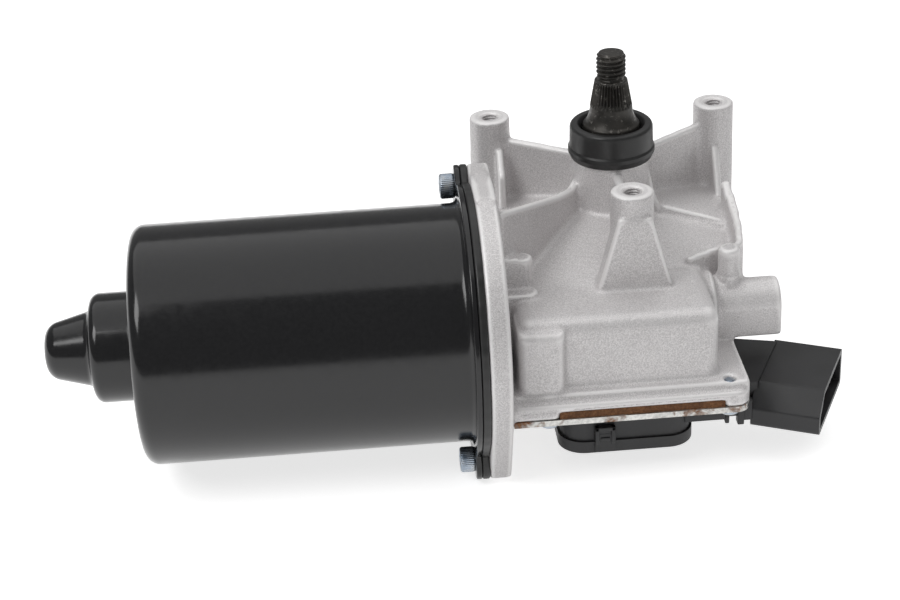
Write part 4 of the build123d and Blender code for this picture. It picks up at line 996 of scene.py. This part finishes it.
# ---- cover screws ----
EAR_CIRCLE_R = 47 * MM
SCREW_PLACES = [
    (-31.5 * MM, -73.3 * MM), (27.8 * MM, -73.3 * MM),
    (EAR_CIRCLE_R * cos(radians(60)), EAR_CIRCLE_R * sin(radians(60))),
    (EAR_CIRCLE_R * cos(radians(120)), EAR_CIRCLE_R * sin(radians(120))),
]
# half length and half width of the cross recess, in mm
RECESS_REACH, RECESS_HALF = 2.1, 0.5
# domed head, (height above its face, radius) in mm
SCREW_HEAD_ROWS = [(0, 2.4), (0.25, 2.9), (0.7, 3.4), (1.4, 3.8), (2.1, 3.95)]
SCREW_RIM_R = 4.0 * MM
SCREW_FOOT_R = 3.85 * MM
SCREW_FOOT_ROUND = 0.2 * MM
SCREW_PITCH = 0.7 * MM
SCREW_CORE_R = 1.65 * MM
SCREW_THREAD_DEPTH = 0.35 * MM
SCREW_TIP = 0.5 * MM
SCREW_TIP_R = 1.3 * MM
SCREW_THREAD_STEPS = 80
SCREW_SIDES = 96
SCREW_CRISP = 45


def cross_recess(angles):
    """Radii of a cross with four equal arms"""
    c, s = np.abs(np.cos(angles)) + 1e-6, np.abs(np.sin(angles)) + 1e-6
    along_x = np.minimum(RECESS_REACH / c, RECESS_HALF / s)
    along_y = np.minimum(RECESS_REACH / s, RECESS_HALF / c)
    return np.maximum(along_x, along_y) * MM


def cover_screws():
    """Pan-head screws with a cross recess and a thread that comes through the base flange"""
    angles = around(SCREW_SIDES)
    cross = cross_recess(angles)
    face = SCREW_LOW[2]
    rows = [(face + 1.7 * MM, 0.2 * MM), (face + 1.5 * MM, 0.6 * cross), (face + 0.1 * MM, cross)]
    rows += [(face + height, radius) for height, radius in in_metres(SCREW_HEAD_ROWS)]
    rows += [(COVER_LOW - SCREW_FOOT_ROUND, SCREW_RIM_R), (COVER_LOW, SCREW_FOOT_R)]
    for step in range(SCREW_THREAD_STEPS + 1):
        z = COVER_LOW + (SCREW_HIGH[2] - SCREW_TIP - COVER_LOW) * step / SCREW_THREAD_STEPS
        crest = ridges(z / SCREW_PITCH - angles / (2 * pi))
        rows.append((z, SCREW_CORE_R + SCREW_THREAD_DEPTH * crest))
    rows.append((SCREW_HIGH[2], SCREW_TIP_R))
    for number, place in enumerate(SCREW_PLACES):
        screw = turned_mesh(f"cover_screw_{number + 1}", rows, SCREW_SIDES, centre=place)
        sharpen(screw, SCREW_CRISP)
        nodes = ("cover_screws",) if number == 0 else ()
        add_piece(screw, "housing", "zinc_steel", *nodes)


# ---- small mouldings and casting seams, in mm ----
# bars as three (low, high) pairs
ARM_BARS = [
    ((14.5, 29.6), (-66.0, -63.0), (-77.2, -67.0)),
    ((28.0, 33.5), (-65.6, -63.2), (-76.4, -74.9)),
    ((28.2, 29.6), (-66.3, -63.0), (-78.6, -75.5)),
    ((32.4, 34.6), (-66.4, -63.0), (-79.4, -71.5)),
    ((33.5, 37.4), (-65.6, -63.2), (-78.3, -70.5)),
]
LATCH_BARS = [
    ((-15.9, -9.1), (-70.1, -68.2), (-75.8, -74.3)),
    ((-15.9, -14.5), (-70.1, -68.2), (-80.6, -74.3)),
    ((-10.5, -9.1), (-70.1, -68.2), (-80.6, -74.3)),
    ((-14.8, -10.2), (-69.5, -68.2), (-77.6, -74.6)),
    ((-14.1, -10.9), (-70.0, -68.9), (-79.6, -78.2)),
]
ARM_BEVEL = 0.35
LATCH_BEVEL = 0.3
FRONT_SEAM = [(-24, -78.98, -61.0), (0, -78.98, -60.8), (29, -78.98, -60.7), (33.0, -77.2, -60.7)]
LEFT_SEAM = [(-43, -79.0, -61.9), (-30, -79.0, -61.7)]
FRONT_WAVE = 0.12
LEFT_WAVE = 0.1
SEAM_R = 0.2
SEAM_STEPS = 40
SEAM_SIDES = 8
# how fast the seam wanders and swells, in radians a step
SEAM_WANDER = (0.9, 0.37)
SEAM_SWELL = 1.7


def bars_mesh(name, bars, bevel):
    """Mesh of rounded bars"""
    shape = bmesh.new()
    for bar in bars:
        size = [(high - low) * MM for low, high in bar]
        middle = [(high + low) / 2 * MM for low, high in bar]
        place = Matrix.Translation(middle) @ Matrix.Diagonal(size + [1])
        bmesh.ops.create_cube(shape, size=1.0, matrix=place)
    bmesh.ops.bevel(shape, geom=shape.edges[:], offset=bevel * MM, segments=BEVEL_STEPS,
                    profile=0.5, affect="EDGES")
    mesh = bpy.data.meshes.new(name)
    shape.to_mesh(mesh)
    shape.free()
    mesh.shade_smooth()
    return mesh


def seam_mesh(name, path, wave):
    """Thin raised line that a die joint leaves, along a path of points"""
    loops = []
    places = np.array(path) * MM
    turns = around(SEAM_SIDES)[:, None]
    along = np.linspace(0, len(places) - 1, SEAM_STEPS * (len(places) - 1) + 1)
    for number, at in enumerate(along):
        first = min(int(at), len(places) - 2)
        run = places[first + 1] - places[first]
        here = places[first] + run * (at - first)
        lift = wave * sin(number * SEAM_WANDER[0]) * sin(number * SEAM_WANDER[1])
        here = here + np.array([0, 0, lift * MM])
        run = run / np.linalg.norm(run)
        side = np.cross(run, (0, 0, 1.0))
        side /= np.linalg.norm(side)
        up = np.cross(side, run)
        reach = SEAM_R * MM * (0.75 + 0.25 * sin(number * SEAM_SWELL))
        loops.append(here + reach * (np.cos(turns) * side + np.sin(turns) * up))
    return loft_mesh(name, loops)


def mouldings():
    """Stepped arm edge and snap frame of the contact carrier, and the seams of the casting"""
    add_piece(bars_mesh("arm_steps", ARM_BARS, ARM_BEVEL), "housing", "black_plastic")
    add_piece(bars_mesh("snap_frame", LATCH_BARS, LATCH_BEVEL), "housing", "black_plastic")
    add_piece(seam_mesh("front_seam", FRONT_SEAM, FRONT_WAVE), "housing", "cast_aluminium")
    add_piece(seam_mesh("left_seam", LEFT_SEAM, LEFT_WAVE), "housing", "cast_aluminium")


# ---- rounded edges on the CAD pieces that are kept, in mm ----
EDGE_ROUNDS = {
    "bottom_cover": 0.3, "cover_gasket": 0.25, "contact_housing": 0.7, "contact_lid": 0.35,
    "collar_washer": 0.2, "terminal_pins": 0.15,
}
EDGE_LIMIT = radians(40)


def round_edges():
    """Bevel the sharp edges of the plain pieces that show"""
    for name, width in EDGE_ROUNDS.items():
        bevel = frame["nodes"][name].modifiers.new("rounded edges", "BEVEL")
        bevel.width = width * MM
        bevel.segments = BEVEL_STEPS
        bevel.limit_method = "ANGLE"
        bevel.angle_limit = EDGE_LIMIT
        bevel.use_clamp_overlap = True
        bevel.harden_normals = True


# ---- stage ----

def add_camera():
    """Camera at the photograph's place and angle"""
    camera = bpy.data.cameras.new("camera")
    camera.lens = CAMERA_LENS
    camera.sensor_width = SENSOR_WIDTH
    camera.clip_start = CLIP_START
    right = Vector(CAMERA_RIGHT).normalized()
    back = right.cross(Vector(CAMERA_UP)).normalized()
    up = back.cross(right)
    turn = Matrix((right, up, back)).transposed().to_4x4()
    holder = bpy.data.objects.new("camera", camera)
    holder.matrix_world = Matrix.Translation(CAMERA_AT) @ turn
    bpy.context.collection.objects.link(holder)
    bpy.context.scene.camera = holder


def add_lamp(name, at, size, watts):
    """Soft rectangular lamp aimed at the part"""
    light = bpy.data.lights.new(name, "AREA")
    light.shape = "RECTANGLE"
    light.size, light.size_y = size
    light.energy = watts
    holder = bpy.data.objects.new(name, light)
    holder.location = at
    aim = Vector(LAMP_AIM) - Vector(at)
    holder.rotation_euler = aim.to_track_quat("-Z", "Y").to_euler()
    bpy.context.collection.objects.link(holder)


def floor_material():
    """Pale matt floor; a faint glow for camera and glossy rays brings it up to white"""
    material, tree, shader = new_material("floor", FLOOR_COLOUR, FLOOR_ROUGHNESS)
    shader.inputs["Specular IOR Level"].default_value = 0.0
    glow = tree.nodes.new("ShaderNodeEmission")
    paths = tree.nodes.new("ShaderNodeLightPath")
    seen = tree.nodes.new("ShaderNodeMath")
    seen.operation = "MAXIMUM"
    strength = tree.nodes.new("ShaderNodeMath")
    strength.operation = "MULTIPLY"
    strength.inputs[1].default_value = FLOOR_GLOW
    both = tree.nodes.new("ShaderNodeAddShader")
    tree.links.new(paths.outputs["Is Camera Ray"], seen.inputs[0])
    tree.links.new(paths.outputs["Is Glossy Ray"], seen.inputs[1])
    tree.links.new(seen.outputs[0], strength.inputs[0])
    tree.links.new(strength.outputs[0], glow.inputs["Strength"])
    tree.links.new(shader.outputs[0], both.inputs[0])
    tree.links.new(glow.outputs[0], both.inputs[1])
    tree.links.new(both.outputs[0], tree.nodes["Material Output"].inputs["Surface"])
    return material


def add_floor():
    """Wide floor just under the part"""
    floor_z = CAD_BOX[0][2] - FLOOR_GAP
    mesh = bpy.data.meshes.new("floor")
    corners = [
        (side_x * FLOOR_REACH, side_y * FLOOR_REACH, floor_z)
        for side_x, side_y in ((-1, -1), (1, -1), (1, 1), (-1, 1))
    ]
    mesh.from_pydata(corners, [], [(0, 1, 2, 3)])
    mesh.materials.append(floor_material())
    floor = bpy.data.objects.new("floor", mesh)
    bpy.context.collection.objects.link(floor)


def add_world():
    """Even white studio that lights the part; the camera sees it at full white"""
    world = bpy.data.worlds.new("studio")
    world.use_nodes = True
    tree = world.node_tree
    lit = tree.nodes["Background"]
    lit.inputs["Color"].default_value = (1, 1, 1, 1)
    lit.inputs["Strength"].default_value = WORLD_LIGHT
    seen = tree.nodes.new("ShaderNodeBackground")
    seen.inputs["Color"].default_value = (1, 1, 1, 1)
    paths = tree.nodes.new("ShaderNodeLightPath")
    blend = tree.nodes.new("ShaderNodeMixShader")
    tree.links.new(paths.outputs["Is Camera Ray"], blend.inputs["Fac"])
    tree.links.new(lit.outputs[0], blend.inputs[1])
    tree.links.new(seen.outputs[0], blend.inputs[2])
    tree.links.new(blend.outputs[0], tree.nodes["World Output"].inputs["Surface"])
    bpy.context.scene.world = world


dress_nodes()
cast_housing()
boss_threads()
output_shaft()
motor_can()
flange_gasket()
socket_bolts()
rubber_cap()
cover_screws()
mouldings()
round_edges()
add_camera()
add_world()
add_floor()
for lamp in LAMPS:
    add_lamp(*lamp)
bpy.context.scene.view_settings.view_transform = "Standard"
